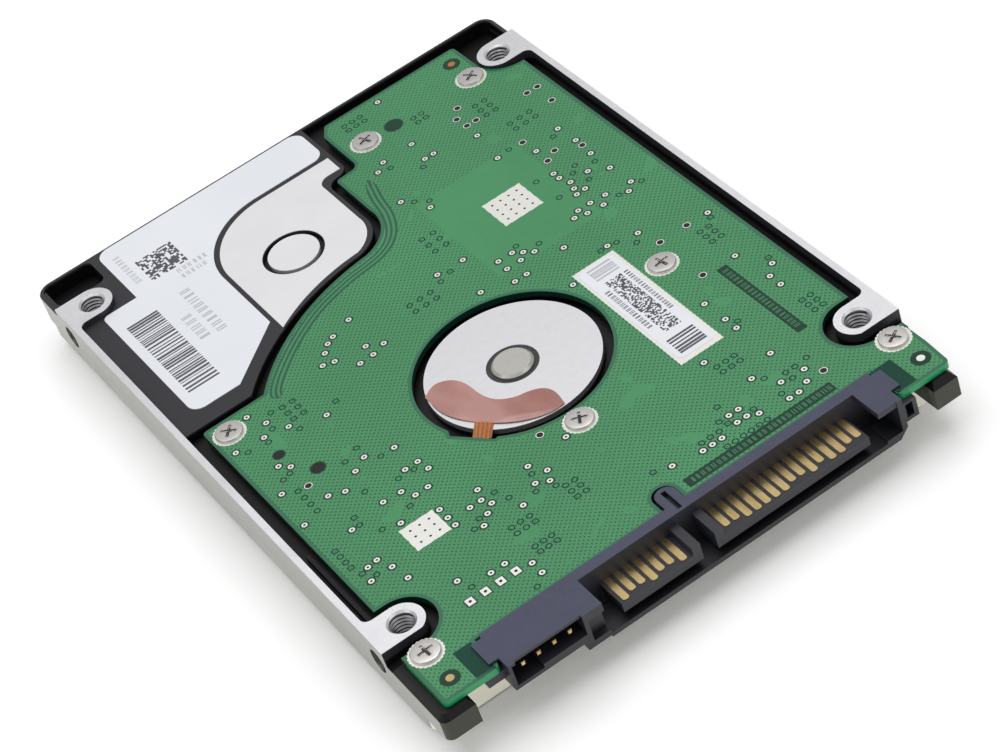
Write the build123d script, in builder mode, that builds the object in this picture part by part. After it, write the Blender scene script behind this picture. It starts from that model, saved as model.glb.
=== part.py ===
from build123d import *
import math
import os

# A 2.5 inch, 9.5 mm high hard disk drive with a serial-ATA plug, in millimetres.
# +Z is the circuit-board side, +Y the end away from the plug, X runs across the width.
# The origin is below the middle of the drive, on the outside of the cover (z = 0).

os.makedirs("parts", exist_ok=True)

# standard outline and screw places
width = 69.85
length = 100.2
height = 9.5
half_w = width / 2
half_l = length / 2
hole_x = 61.72 / 2
near_hole_y = -half_l + 14.0
far_hole_y = near_hole_y + 76.6
side_hole_z = height - 3.0
m3_r = 1.5
bottom_hole_depth = 3.0
side_hole_depth = 2.3

# heights of the layers
cover_sheet = 0.6
skirt_z = 2.0
cover_top = 4.5
seam_z = 4.7
ceiling_z = 6.4
floor_z = 7.4
board_low = 8.15
board_high = 9.0
raised_z = 8.6

# widths and edges
rail = 0.85
rail_end_y = -38.5
rim = 0.6
corner_r = 2.0
chamber_x = 33.1
chamber_far_y = 48.3
block_back_y = -39.6
end_wall_y = -44.5
skirt_near_y = -45.6
boss_r = 2.7
m2_r = 0.8
gap = 0.05

# spindle, platters and motor
spin_x = 0.0
spin_y = -10.6
platter_r = 32.5
platter_bore = 10.05
platter_t = 0.635
platter_z = [2.0, 4.5]
hub_r = 10.0
flange_r = 11.5
motor_r = 10.65
motor_hole_r = 9.6
shaft_r = 1.5

# actuator, in its parked position
pivot_x = -7.8
pivot_y = 28.7
pivot_r = 2.5
head_reach = 36.0
tab_reach = 38.4
park_deg = -25.2
swing_deg = 32.5
coil_deg = park_deg + 180.0
arm_hub_r = 5.2

screw_spots = [(9.6, 39.55), (25.9, 39.45), (-29.8, 5.75), (21.6, -10.45),
               (0.1, -24.85), (-31.2, -41.55), (31.7, -41.55)]
cover_screw_spots = [(31.0, 46.3), (-31.0, 46.3), (31.7, 20.5), (-31.7, 20.5),
                     (31.2, -41.8), (-31.2, -41.8)]


def save(piece, name):
    piece.label = name
    export_step(piece, f"parts/{name}.step")


def polar(reach, degrees, centre=(pivot_x, pivot_y)):
    turn = math.radians(degrees)
    return (centre[0] + reach * math.cos(turn), centre[1] + reach * math.sin(turn))


def sector(inner, outer, start, end):
    """The plan of a ring sector about the actuator pivot."""
    middle = (start + end) / 2
    with BuildSketch() as plan:
        with BuildLine():
            Line(polar(inner, start), polar(outer, start))
            ThreePointArc(polar(outer, start), polar(outer, middle), polar(outer, end))
            Line(polar(outer, end), polar(inner, end))
            ThreePointArc(polar(inner, end), polar(inner, middle), polar(inner, start))
        make_face()
    return plan.sketch


def chamber(grow=0.0):
    """The plan of the sealed space for the disks, the arm and the magnets."""
    with BuildSketch() as plan:
        with Locations((spin_x, spin_y)):
            Circle(chamber_x)
        with Locations((0, (spin_y + chamber_far_y) / 2)):
            Rectangle(2 * chamber_x, chamber_far_y - spin_y)
        with Locations((30.5, 42.5), (-30.5, 42.5)):
            Rectangle(7.0, 13.0, mode=Mode.SUBTRACT)
        with Locations((31.7, 20.5), (-31.7, 20.5)):
            Circle(2.5, mode=Mode.SUBTRACT)
        if grow:
            offset(amount=grow)
    return plan.sketch


def raised_outline():
    """The raised flat over the actuator, bounded by the curved edge of the board."""
    left = -half_w + rail / 2
    with BuildSketch() as plan:
        with BuildLine():
            Line((left, half_l - corner_r), (left, 9.9))
            Line((left, 9.9), (-24.6, 9.9))
            ThreePointArc((-24.6, 9.9), (-14.6, 17.8), (-2.4, 21.3))
            ThreePointArc((-2.4, 21.3), (0.4, 22.9), (1.9, 27.0))
            Line((1.9, 27.0), (1.9, 35.3))
            ThreePointArc((1.9, 35.3), (2.4, 36.5), (3.6, 37.0))
            ThreePointArc((3.6, 37.0), (4.8, 37.5), (5.3, 38.7))
            Line((5.3, 38.7), (5.3, half_l - rim / 2))
            Line((5.3, half_l - rim / 2), (left + corner_r, half_l - rim / 2))
            Line((left + corner_r, half_l - rim / 2), (left, half_l - corner_r))
        make_face()
    return plan.sketch


def rails_and_bosses():
    """The bare machined strips along both sides, with a rounded boss at each screw hole."""
    strip_end = far_hole_y + boss_r
    with BuildSketch() as plan:
        for side in (1, -1):
            with Locations((side * (half_w - rail / 2), (rail_end_y + strip_end) / 2)):
                Rectangle(rail, strip_end - rail_end_y)
            for y in (near_hole_y, far_hole_y):
                with Locations((side * hole_x, y)):
                    Circle(boss_r)
                with Locations((side * (hole_x + half_w) / 2, y)):
                    Rectangle(half_w - hole_x, 2 * boss_r)
        with Locations((0, rail_end_y - boss_r)):
            Rectangle(width, 2 * boss_r, mode=Mode.SUBTRACT)
        roots = [v for v in plan.vertices() if abs(abs(v.X) - (half_w - rail)) < 0.01
                 and (abs(v.Y - (near_hole_y + boss_r)) < 0.01 or abs(v.Y - (far_hole_y - boss_r)) < 0.01)]
        fillet(roots, 1.0)
    return plan.sketch


# base casting: the wall and floor slab, its corner blocks, rails, bosses and raised flat
with BuildPart() as base_casting:
    with BuildSketch(Plane.XY.offset(seam_z)) as slab:
        with BuildLine():
            Polyline((-half_w, -half_l), (-30.7, -half_l), (-30.7, end_wall_y), (30.2, end_wall_y),
                     (30.2, -half_l), (33.5, -half_l), (33.7, block_back_y), (half_w, block_back_y),
                     (half_w, half_l), (-half_w, half_l), close=True)
        make_face()
        fillet(slab.vertices().group_by(Axis.Y)[-1], corner_r)
        fillet(slab.vertices().group_by(Axis.Y)[0].sort_by(Axis.X)[0], 1.0)
    extrude(amount=floor_z - seam_z)
    with BuildSketch(Plane.XY.offset(floor_z)) as blocks:
        with Locations((-(half_w + 30.7) / 2, (block_back_y - half_l) / 2)):
            Rectangle(half_w - 30.7, block_back_y + half_l)
        with Locations(((30.2 + 33.5) / 2, (block_back_y - half_l) / 2)):
            Rectangle(33.5 - 30.2, block_back_y + half_l)
        fillet(blocks.vertices().group_by(Axis.Y)[0].sort_by(Axis.X)[0], 1.0)
    extrude(amount=board_low - floor_z, taper=38)
    with BuildSketch(Plane.XY.offset(floor_z)):
        for x, y in screw_spots:
            with Locations((x, y)):
                Circle(2.2)
        with Locations((0, -27.0)):
            Rectangle(8.0, 1.2)
        with Locations((-32.95, -25.5)):
            Rectangle(0.5, 15.0)
        with Locations((32.7, 12.5)):
            Rectangle(0.6, 5.0)
    extrude(amount=board_low - floor_z)
    with BuildSketch(Plane.XY.offset(floor_z)) as rims:
        Rectangle(width, length)
        fillet(rims.vertices(), corner_r)
        offset(amount=-rim, mode=Mode.SUBTRACT)
        with Locations((0, -half_l)):
            Rectangle(width, 2 * (half_l + rail_end_y), mode=Mode.SUBTRACT)
        add(raised_outline())
    extrude(amount=raised_z - floor_z)
    with BuildSketch(Plane.XY.offset(floor_z)):
        add(rails_and_bosses())
    extrude(amount=height - floor_z)
    corner_x = half_w - corner_r
    corner_y = half_l - corner_r
    rim_edges = [e for e in base_casting.edges() if abs(e.center().Z - raised_z) < gap
                 and (e.center().Y > half_l - gap
                      or (abs(e.center().X) > half_w - gap and e.center().Y > far_hole_y)
                      or (abs(e.center().X) > corner_x and e.center().Y > corner_y and
                          math.hypot(abs(e.center().X) - corner_x, e.center().Y - corner_y) > corner_r - gap))]
    chamfer(rim_edges, 0.22)
    # deep pockets in the far corners
    with BuildSketch(Plane.XY.offset(ceiling_z)):
        with Locations((30.6, 46.85), (-30.6, 46.85)):
            RectangleRounded(6.8, 5.2, 1.0)
    extrude(amount=height - ceiling_z, mode=Mode.SUBTRACT)
    # the sealed space, deeper under the raised flat
    with BuildSketch(Plane.XY.offset(seam_z)):
        add(chamber())
    extrude(amount=ceiling_z - seam_z, mode=Mode.SUBTRACT)
    with BuildSketch(Plane.XY.offset(ceiling_z)):
        with BuildLine():
            Polyline((-31.0, 36.5), (-31.0, 17.5), (-19.0, 17.5), (-8.0, 21.8), (0.4, 24.5), (0.4, 48.0),
                     (-26.5, 48.0), (-26.5, 36.5), close=True)
        make_face()
    extrude(amount=floor_z - ceiling_z, mode=Mode.SUBTRACT)
    # motor seat: a through hole with a raised ring around it
    with BuildSketch(Plane.XY.offset(floor_z)):
        with Locations((spin_x, spin_y)):
            Circle(motor_r)
    extrude(amount=0.7)
    with Locations((spin_x, spin_y, floor_z + 0.7)):
        Hole(motor_hole_r, depth=floor_z + 0.7 - ceiling_z)
    # pivot seat, head connector window
    with BuildSketch(Plane.XY.offset(raised_z)):
        with Locations((pivot_x, pivot_y)):
            Circle(4.0)
    extrude(amount=-0.6, mode=Mode.SUBTRACT)
    with Locations((pivot_x, pivot_y, raised_z)):
        Hole(pivot_r, depth=raised_z - floor_z)
    with BuildSketch(Plane.XY.offset(ceiling_z)):
        with Locations((15.0, 34.6)):
            Rectangle(12.0, 4.0)
    extrude(amount=floor_z - ceiling_z, mode=Mode.SUBTRACT)
    # threaded holes
    with Locations(*[(side * hole_x, y, height) for side in (1, -1) for y in (near_hole_y, far_hole_y)]):
        CounterSinkHole(m3_r, m3_r + 0.25, depth=bottom_hole_depth, counter_sink_angle=90)
    for side in (1, -1):
        face = Plane((side * half_w, 0, side_hole_z), x_dir=(0, 1, 0), z_dir=(side, 0, 0))
        with BuildSketch(face):
            with Locations((near_hole_y, 0), (far_hole_y, 0)):
                Circle(m3_r)
        extrude(amount=-side_hole_depth, mode=Mode.SUBTRACT)
    for x, y in screw_spots:
        with Locations((x, y, board_low)):
            Hole(m2_r, depth=board_low - 6.7)
    with BuildSketch(Plane.XY.offset(seam_z)):
        for x, y in cover_screw_spots:
            with Locations((x, y)):
                Circle(m2_r)
    extrude(amount=1.3, mode=Mode.SUBTRACT)
save(base_casting.part, "base_casting")


# top cover: a raised plateau inside a wider skirt, hollow over the disks and the arm
with BuildPart() as top_cover:
    with BuildSketch() as plateau:
        with Locations((0, (48.8 - 44.2) / 2)):
            Rectangle(67.2, 93.0)
        fillet(plateau.vertices(), 3.0)
    extrude(amount=skirt_z)
    chamfer(top_cover.faces().sort_by(Axis.Z)[0].edges(), 0.3)
    with BuildSketch(Plane.XY.offset(skirt_z)) as skirt:
        with Locations((0, (half_l - 0.2 + skirt_near_y) / 2)):
            Rectangle(width - 0.4, half_l - 0.2 - skirt_near_y)
        fillet(skirt.vertices(), corner_r)
    extrude(amount=cover_top - skirt_z)
    with BuildSketch(Plane.XY.offset(cover_sheet)):
        add(chamber())
    extrude(amount=cover_top - cover_sheet, mode=Mode.SUBTRACT)
    with BuildSketch():
        with Locations((0, 2.0)):
            RectangleRounded(52.2, 62.2, 2.0)
    extrude(amount=0.1, mode=Mode.SUBTRACT)
    for x, y in cover_screw_spots:
        with Locations(Plane((x, y, 0), z_dir=(0, 0, -1))):
            CounterBoreHole(m2_r, 1.6, 0.7, depth=cover_top)
    with Locations(Plane((pivot_x, pivot_y, 0), z_dir=(0, 0, -1))):
        Hole(m2_r, depth=cover_sheet)
save(top_cover.part, "top_cover")

with BuildPart() as cover_gasket:
    with BuildSketch(Plane.XY.offset(cover_top)) as ring:
        with Locations((0, (half_l - 0.8 + end_wall_y + 0.2) / 2)):
            Rectangle(width - 1.6, half_l - 0.8 - end_wall_y - 0.2)
        fillet(ring.vertices(), corner_r)
        add(chamber(), mode=Mode.SUBTRACT)
        with Locations(*cover_screw_spots):
            Circle(m2_r, mode=Mode.SUBTRACT)
    extrude(amount=seam_z - cover_top)
save(cover_gasket.part, "cover_gasket")

with BuildPart() as cover_screws:
    for x, y in cover_screw_spots:
        with BuildSketch(Plane.XY.offset(0.1)):
            with Locations((x, y)):
                Circle(1.55)
        extrude(amount=0.6)
        with BuildSketch(Plane.XY.offset(0.1)):
            with Locations((x, y)):
                RegularPolygon(0.7, 6)
        extrude(amount=0.35, mode=Mode.SUBTRACT)
        with BuildSketch(Plane.XY.offset(0.7)):
            with Locations((x, y)):
                Circle(m2_r - gap / 2)
        extrude(amount=5.2)
save(cover_screws.part, "cover_screws")

with BuildPart() as cover_label:
    with BuildSketch():
        with Locations((0, 2.0)):
            RectangleRounded(52.0, 62.0, 2.0)
    extrude(amount=0.1)
    with Locations((pivot_x, pivot_y, 0.1)):
        Hole(m2_r + 0.2, depth=0.1)
save(cover_label.part, "cover_label")


# circuit board with its cut-outs for the bosses, the motor, the plug and the raised flat
def board_plan():
    left = -32.2
    right = 32.6
    with BuildSketch() as plan:
        with BuildLine():
            Polyline((left, 8.35), (left, block_back_y + 0.1), (-33.55, block_back_y + 0.1), (-33.55, -49.05),
                     (-26.45, -49.05), (-26.45, -43.85), (26.6, -43.85), (26.6, -49.05), (33.6, -49.05),
                     (33.9, -44.5), (33.9, block_back_y + 0.1), (right, block_back_y + 0.1), (right, 36.9))
            ThreePointArc((right, 36.9), (29.6, 37.9), (27.9, 40.6))
            Polyline((27.9, 40.6), (27.8, 47.05), (7.6, 47.05), (6.4, 45.0), (6.4, 37.2))
            ThreePointArc((6.4, 37.2), (6.0, 36.4), (5.2, 36.1))
            Line((5.2, 36.1), (3.4, 36.0))
            ThreePointArc((3.4, 36.0), (3.0, 35.7), (2.9, 35.2))
            Line((2.9, 35.2), (2.9, 27.3))
            ThreePointArc((2.9, 27.3), (1.2, 22.0), (-2.0, 20.15))
            ThreePointArc((-2.0, 20.15), (-13.8, 16.55), (-23.6, 8.35))
            Line((-23.6, 8.35), (left, 8.35))
        make_face()
        with Locations((hole_x, near_hole_y), (-hole_x, near_hole_y)):
            Circle(boss_r + 1.3, mode=Mode.SUBTRACT)
        with Locations((half_w, near_hole_y), (-half_w, near_hole_y)):
            Rectangle(2 * (half_w - hole_x), 2 * boss_r + 2.6, mode=Mode.SUBTRACT)
        with Locations((-0.1, -42.9)):
            SlotOverall(5.0, 3.0, rotation=90, mode=Mode.SUBTRACT)
        with Locations((spin_x, spin_y)):
            Circle(12.0, mode=Mode.SUBTRACT)
        with BuildLine():
            Polyline((-11.3, -14.2), (-11.7, -15.3), (-8.3, -19.75), (-7.5, -19.6), (-4.0, -12.0),
                     (-11.3, -14.2))
        make_face(mode=Mode.SUBTRACT)
        corners = [v for v in plan.vertices() if v.Y < -48.5 or (v.X < -32.0 and v.Y > 8.0)
                   or (v.X > 27.0 and v.Y > 46.5) or (v.X < 7.7 and v.X > 7.5 and v.Y > 47.0)]
        fillet(corners, 0.6)
        with Locations(*screw_spots):
            Circle(m2_r + 0.3, mode=Mode.SUBTRACT)
    return plan.sketch


with BuildPart() as circuit_board:
    with BuildSketch(Plane.XY.offset(board_low)):
        add(board_plan())
    extrude(amount=board_high - board_low)
    with Locations((13.9, 39.55, board_high)):
        Hole(0.9)
    with Locations(*[(-23.8 + 2.0 * n, -38.85, board_high) for n in range(4)]):
        Hole(0.3)
save(circuit_board.part, "circuit_board")

with BuildPart() as board_screws:
    for x, y in screw_spots:
        with BuildSketch(Plane.XY.offset(board_high)):
            with Locations((x, y)):
                Circle(1.75)
        extrude(amount=0.42)
    fillet(board_screws.faces().sort_by(Axis.Z)[-len(screw_spots):].edges(), 0.15)
    for x, y in screw_spots:
        with BuildSketch(Plane.XY.offset(board_high + 0.42)):
            with Locations((x, y)):
                Rectangle(1.7, 0.36, rotation=35)
                Rectangle(0.36, 1.7, rotation=35)
        extrude(amount=-0.3, mode=Mode.SUBTRACT)
        with BuildSketch(Plane.XY.offset(board_high)):
            with Locations((x, y)):
                Circle(m2_r - gap / 2)
        extrude(amount=6.8 - board_high)
save(board_screws.part, "board_screws")


# small parts on the hidden face of the board; each list gives name, place and size
chip_low = floor_z + 0.12
board_parts = {
    "controller_chip": [((15.4, 13.4), (14.0, 14.0))],
    "motor_driver_chip": [((-21.8, -25.9), (8.0, 8.0))],
    "memory_chip": [((19.0, -27.0), (8.0, 11.0))],
    "flash_chip": [((-14.0, 4.0), (5.0, 6.0))],
    "crystal": [((2.0, 10.0), (5.0, 3.2))],
}
for name, blocks in board_parts.items():
    with BuildPart() as chip:
        for place, size in blocks:
            with BuildSketch(Plane.XY.offset(chip_low)):
                with Locations(place):
                    Rectangle(*size)
            extrude(amount=board_low - chip_low)
        chamfer(chip.faces().sort_by(Axis.Z)[0].edges(), 0.15)
    save(chip.part, name)

with BuildPart() as small_parts:
    with BuildSketch(Plane.XY.offset(board_low - 0.5)):
        with Locations((5.5, -32.0)):
            with GridLocations(1.8, 2.4, 4, 3):
                Rectangle(1.0, 0.5)
        with Locations((-13.0, -32.0)):
            with GridLocations(2.0, 2.2, 4, 3):
                Rectangle(1.0, 0.5)
        with Locations((22.0, 28.5)):
            with GridLocations(2.2, 2.0, 3, 3):
                Rectangle(1.2, 0.7)
        with Locations((-22.0, -1.0)):
            with GridLocations(2.0, 2.0, 3, 2):
                Rectangle(1.2, 0.7)
    extrude(amount=0.5)
save(small_parts.part, "small_parts")

with BuildPart() as board_insulator:
    with BuildSketch(Plane.XY.offset(floor_z)):
        with Locations((0, -10.0)):
            RectangleRounded(60.0, 32.0, 2.0)
        with Locations((18.0, 16.0)):
            RectangleRounded(22.0, 24.0, 2.0)
        with Locations((spin_x, spin_y)):
            Circle(13.0, mode=Mode.SUBTRACT)
        with Locations(*screw_spots):
            Circle(2.5, mode=Mode.SUBTRACT)
        with Locations((0, -27.0)):
            Rectangle(9.0, 2.0, mode=Mode.SUBTRACT)
    extrude(amount=0.1)
save(board_insulator.part, "board_insulator")


# plug housing: jumper block, channel with two tongues, keying ears and a locating peg
plug_front = -half_l
plug_back = -43.95
plug_top = 9.35
plug_low = 4.0
plug_lip_y = skirt_near_y - gap
tongue_top = 7.0
tongue_t = 1.2
tongue_front = -49.7
contact_pitch = 1.27
signal_x = -10.9
power_x = signal_x + 6 * contact_pitch + 5 * contact_pitch - 0.15
signal_tongue = (-11.75, -1.2)
power_tongue = (0.75, 21.4)
jumper_x = -24.2
jumper_pitch = 2.0
ear_x = 23.0


def block(x0, x1, y0, y1, z0, z1, mode=Mode.ADD):
    """A box between two corners, added to or cut from the part being built."""
    with Locations(((x0 + x1) / 2, (y0 + y1) / 2, (z0 + z1) / 2)):
        Box(x1 - x0, y1 - y0, z1 - z0, mode=mode)


with BuildPart() as plug_housing:
    block(-26.1, -14.0, plug_front, end_wall_y - gap, 5.6, plug_top)
    block(-17.0, -14.0, plug_front, plug_lip_y, plug_low + 0.4, 5.6)
    block(-25.9, 26.2, end_wall_y - gap, plug_back, floor_z + gap, plug_top)
    block(-28.4, -26.0, -48.9, end_wall_y - gap, 6.9, board_low - gap)
    block(-14.0, 26.2, plug_front + 0.1, plug_lip_y, plug_low, plug_low + 0.65)
    block(-14.0, 26.2, -46.0, end_wall_y - gap, plug_low + 0.55, plug_low + 1.0)
    block(-14.0, 26.2, -45.4, end_wall_y - gap, plug_low + 0.55, plug_top)
    # right-hand ear: a roof, a side wall and a filled lower corner around a keying slot
    block(ear_x, 26.2, plug_front + 0.2, -45.4, 8.55, plug_top)
    block(25.5, 26.2, plug_front + 0.1, -45.4, plug_low, plug_top)
    block(ear_x + 0.3, 25.6, plug_front + 0.1, -46.8, plug_low + 0.6, 5.0)
    block(26.1, 28.1, plug_front + 0.4, end_wall_y - gap, 5.5, board_low - gap)
    block(26.6, 27.55, plug_front + 0.4, -46.5, 6.0, 7.85, mode=Mode.SUBTRACT)
    for left, right in (signal_tongue, power_tongue):
        block(left, right, tongue_front, -45.4, tongue_top - tongue_t, tongue_top)
    block(signal_tongue[1] - 1.1, signal_tongue[1], tongue_front, -45.4, tongue_top, 8.1)
    block(power_tongue[0], power_tongue[0] + 1.1, tongue_front, -45.4, tongue_top, 8.1)
    # jumper opening with its stepped lip, and a recess beside it
    block(-25.7, -16.6, plug_front, -46.2, 6.6, 8.95, mode=Mode.SUBTRACT)
    block(-25.7, -22.3, plug_front, -46.2, 6.1, 6.6, mode=Mode.SUBTRACT)
    block(-25.2, -16.6, plug_front, plug_front + 0.35, 8.9, plug_top, mode=Mode.SUBTRACT)
    block(-16.1, -14.0, plug_front, -49.2, 5.2, 8.2, mode=Mode.SUBTRACT)
    shell_edge = [e for e in plug_housing.edges().filter_by(Axis.Y)
                  if abs(e.center().X - 26.2) < gap and abs(e.center().Z - plug_low) < gap]
    chamfer(shell_edge, 1.2)
    # narrow lips that lie on the board beside its notch
    block(-27.3, -26.0, -48.3, end_wall_y - gap, board_high + gap, plug_top)
    block(26.1, 27.5, -48.1, end_wall_y - gap, board_high + gap, plug_top)
    # peg in the notch of the board, with a slot
    with BuildSketch(Plane.XY.offset(floor_z + gap)):
        with Locations((-0.1, -43.1)):
            SlotOverall(4.2, 2.6, rotation=90)
    extrude(amount=plug_top - floor_z - gap)
    block(-0.4, 0.2, -45.0, -41.6, 8.6, plug_top, mode=Mode.SUBTRACT)
save(plug_housing.part, "plug_housing")


def contact_row(first_x, count, long_ones):
    """A row of plated strips lying on a tongue, the early-mating ones longer."""
    with BuildPart() as row:
        for n in range(count):
            reach = 4.1 if n + 1 in long_ones else 3.5
            with BuildSketch(Plane.XY.offset(tongue_top)) as strip:
                with Locations((first_x + n * contact_pitch, -45.4 - reach / 2)):
                    Rectangle(0.82, reach)
                chamfer(strip.vertices().group_by(Axis.Y)[0], 0.2)
            extrude(amount=0.1)
    return row.part


save(contact_row(signal_x, 7, (1, 4, 7)), "signal_contacts")
save(contact_row(power_x, 15, (3, 4, 5, 6, 7, 10, 12, 13)), "power_contacts")

with BuildPart() as jumper_pins:
    for n in range(4):
        block(jumper_x + n * jumper_pitch - 0.25, jumper_x + n * jumper_pitch + 0.25,
              -49.85, -46.2, 7.85, 8.35)
    chamfer(jumper_pins.faces().sort_by(Axis.Y)[:4].edges(), 0.12)
save(jumper_pins.part, "jumper_pins")


# spindle motor: fixed base, sleeve, stator and end cap
def ring_at(outer, inner, low, high, centre=(spin_x, spin_y)):
    """A flat ring about a vertical axis, added to the part being built."""
    with BuildSketch(Plane.XY.offset(low)) as plan:
        with Locations(centre):
            Circle(outer)
            if inner:
                Circle(inner, mode=Mode.SUBTRACT)
    extrude(plan.sketch, amount=high - low)


disc_z = 8.8
with BuildPart() as motor_base:
    ring_at(motor_r, 2.6, 8.1, disc_z)
    ring_at(motor_hole_r - gap / 2, 2.6, 7.9, 8.1)
    ring_at(3.6, 2.6, 5.6, 7.9)
    with BuildSketch(Plane.XY.offset(disc_z)):
        with Locations((spin_x, spin_y)):
            Circle(3.2)
            Circle(2.6, mode=Mode.SUBTRACT)
    extrude(amount=-0.35, mode=Mode.SUBTRACT)
save(motor_base.part, "motor_base")

with BuildPart() as motor_end_cap:
    ring_at(2.55, 0, 8.3, 9.2)
    chamfer(motor_end_cap.faces().sort_by(Axis.Z)[-1].edges(), 0.3)
save(motor_end_cap.part, "motor_end_cap")

with BuildPart() as bearing_sleeve:
    ring_at(2.6, shaft_r + gap, 4.9, 8.1)
save(bearing_sleeve.part, "bearing_sleeve")

with BuildPart() as stator_core:
    ring_at(4.9, 3.6, 6.5, 7.4)
    with BuildSketch(Plane.XY.offset(6.5)):
        with Locations((spin_x, spin_y)):
            with PolarLocations(5.8, 9):
                Rectangle(2.4, 0.9)
            with PolarLocations(7.0, 9):
                Rectangle(0.5, 3.2)
    extrude(amount=0.9)
save(stator_core.part, "stator_core")

with BuildPart() as stator_coils:
    for n in range(9):
        turn = 40.0 * n
        centre = polar(5.85, turn, (spin_x, spin_y))
        frame_plane = Plane((centre[0], centre[1], 6.95), x_dir=(-math.sin(math.radians(turn)),
                            math.cos(math.radians(turn)), 0),
                            z_dir=(math.cos(math.radians(turn)), math.sin(math.radians(turn)), 0))
        with BuildSketch(frame_plane):
            Rectangle(1.9, 1.5)
            Rectangle(0.92, 0.92, mode=Mode.SUBTRACT)
        extrude(amount=0.75, both=True)
save(stator_coils.part, "stator_coils")

# spindle rotor: shaft, hub, magnet, platters, spacer, clamp and its screws
with BuildPart() as spindle_shaft:
    ring_at(shaft_r, 0, 2.6, 8.0)
save(spindle_shaft.part, "spindle_shaft")

with BuildPart() as spindle_hub:
    ring_at(hub_r, 0, platter_z[0], platter_z[1] + platter_t)
    ring_at(flange_r, 0, platter_z[1] + platter_t, 5.8)
    ring_at(9.2, 8.6, 5.8, 7.6)
    with Locations((spin_x, spin_y, 5.8)):
        Hole(8.6, depth=0.5)
        Hole(3.2, depth=1.4)
        Hole(shaft_r, depth=3.2)
    with BuildSketch(Plane.XY.offset(platter_z[0])):
        with Locations((spin_x, spin_y)):
            with PolarLocations(6.0, 6):
                Circle(m2_r)
    extrude(amount=2.2, mode=Mode.SUBTRACT)
save(spindle_hub.part, "spindle_hub")

with BuildPart() as rotor_magnet:
    ring_at(8.6, 7.7, 6.0, 7.5)
save(rotor_magnet.part, "rotor_magnet")

for name, low in zip(("lower_platter", "upper_platter"), platter_z):
    with BuildPart() as platter:
        ring_at(platter_r, platter_bore, low, low + platter_t)
        chamfer(platter.edges().filter_by(GeomType.CIRCLE).group_by(SortBy.LENGTH)[-1], 0.12)
    save(platter.part, name)

with BuildPart() as platter_spacer:
    ring_at(12.0, platter_bore, platter_z[0] + platter_t, platter_z[1])
save(platter_spacer.part, "platter_spacer")

with BuildPart() as disk_clamp:
    ring_at(flange_r, 2.5, 1.3, platter_z[0])
    with BuildSketch(Plane.XY.offset(1.3)):
        with Locations((spin_x, spin_y)):
            with PolarLocations(6.0, 6):
                Circle(m2_r)
    extrude(amount=0.7, mode=Mode.SUBTRACT)
    chamfer(disk_clamp.edges().filter_by(GeomType.CIRCLE).group_by(Axis.Z)[0].group_by(SortBy.LENGTH)[-1], 0.3)
save(disk_clamp.part, "disk_clamp")

with BuildPart() as clamp_screws:
    for n in range(6):
        spot = polar(6.0, 60.0 * n, (spin_x, spin_y))
        ring_at(1.4, 0, 0.95, 1.3, spot)
        ring_at(m2_r - gap / 2, 0, 1.3, 4.0, spot)
save(clamp_screws.part, "clamp_screws")


# actuator: bearing sleeve on a fixed post, comb of arms, coil in its frame, heads
with BuildPart() as pivot_post:
    ring_at(pivot_r - gap / 2, 0, cover_sheet, 8.0, (pivot_x, pivot_y))
    ring_at(3.35, 0, 8.0, raised_z + 0.05, (pivot_x, pivot_y))
    with Locations(Plane((pivot_x, pivot_y, cover_sheet), z_dir=(0, 0, -1))):
        Hole(m2_r, depth=2.5)
save(pivot_post.part, "pivot_post")

with BuildPart() as pivot_sleeve:
    ring_at(3.4, pivot_r + gap, 1.1, 7.0, (pivot_x, pivot_y))
save(pivot_sleeve.part, "pivot_sleeve")

arm_levels = [(0.9, 1.3), (3.2, 3.9), (5.9, 6.2)]
hub_low = 0.9
hub_high = 6.2
coil_low = 3.3
coil_high = 4.7
arm_plane = Plane((pivot_x, pivot_y, 0), x_dir=(math.cos(math.radians(park_deg)),
                  math.sin(math.radians(park_deg)), 0), z_dir=(0, 0, 1))
coil_half = 14.0
coil_inner = 9.0
coil_outer = 18.0
coil_wire = 2.6
frame_wall = 0.9

with BuildPart() as actuator_arm:
    for low, high in arm_levels:
        with BuildSketch(arm_plane.offset(low)) as blade:
            with BuildLine():
                Polyline((0, -4.6), (22.0, -1.9), (23.0, -0.9), (23.0, 0.9), (22.0, 1.9), (0, 4.6), close=True)
            make_face()
            with Locations((14.0, 0)):
                Circle(1.5, mode=Mode.SUBTRACT)
        extrude(amount=high - low)
    ring_at(arm_hub_r, 0, hub_low, hub_high, (pivot_x, pivot_y))
    with BuildSketch(arm_plane.offset(coil_low)):
        with Locations((0.6, 5.6)):
            Rectangle(4.6, 2.0)
    extrude(amount=coil_high - coil_low)
    with Locations((pivot_x, pivot_y, hub_high)):
        Hole(3.4, depth=hub_high - hub_low)
save(actuator_arm.part, "actuator_arm")

with BuildPart() as preamp_chip:
    with BuildSketch(arm_plane.offset(coil_low + 0.2)):
        with Locations((0.6, 6.95)):
            Rectangle(3.0, 0.7)
    extrude(amount=1.0)
save(preamp_chip.part, "preamp_chip")

with BuildPart() as voice_coil:
    with BuildSketch(Plane.XY.offset(coil_low)):
        add(sector(coil_inner, coil_outer, coil_deg - coil_half, coil_deg + coil_half))
        add(sector(coil_inner + coil_wire, coil_outer - coil_wire, coil_deg - coil_half + 11.0,
                   coil_deg + coil_half - 11.0), mode=Mode.SUBTRACT)
    extrude(amount=coil_high - coil_low)
save(voice_coil.part, "voice_coil")

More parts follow.
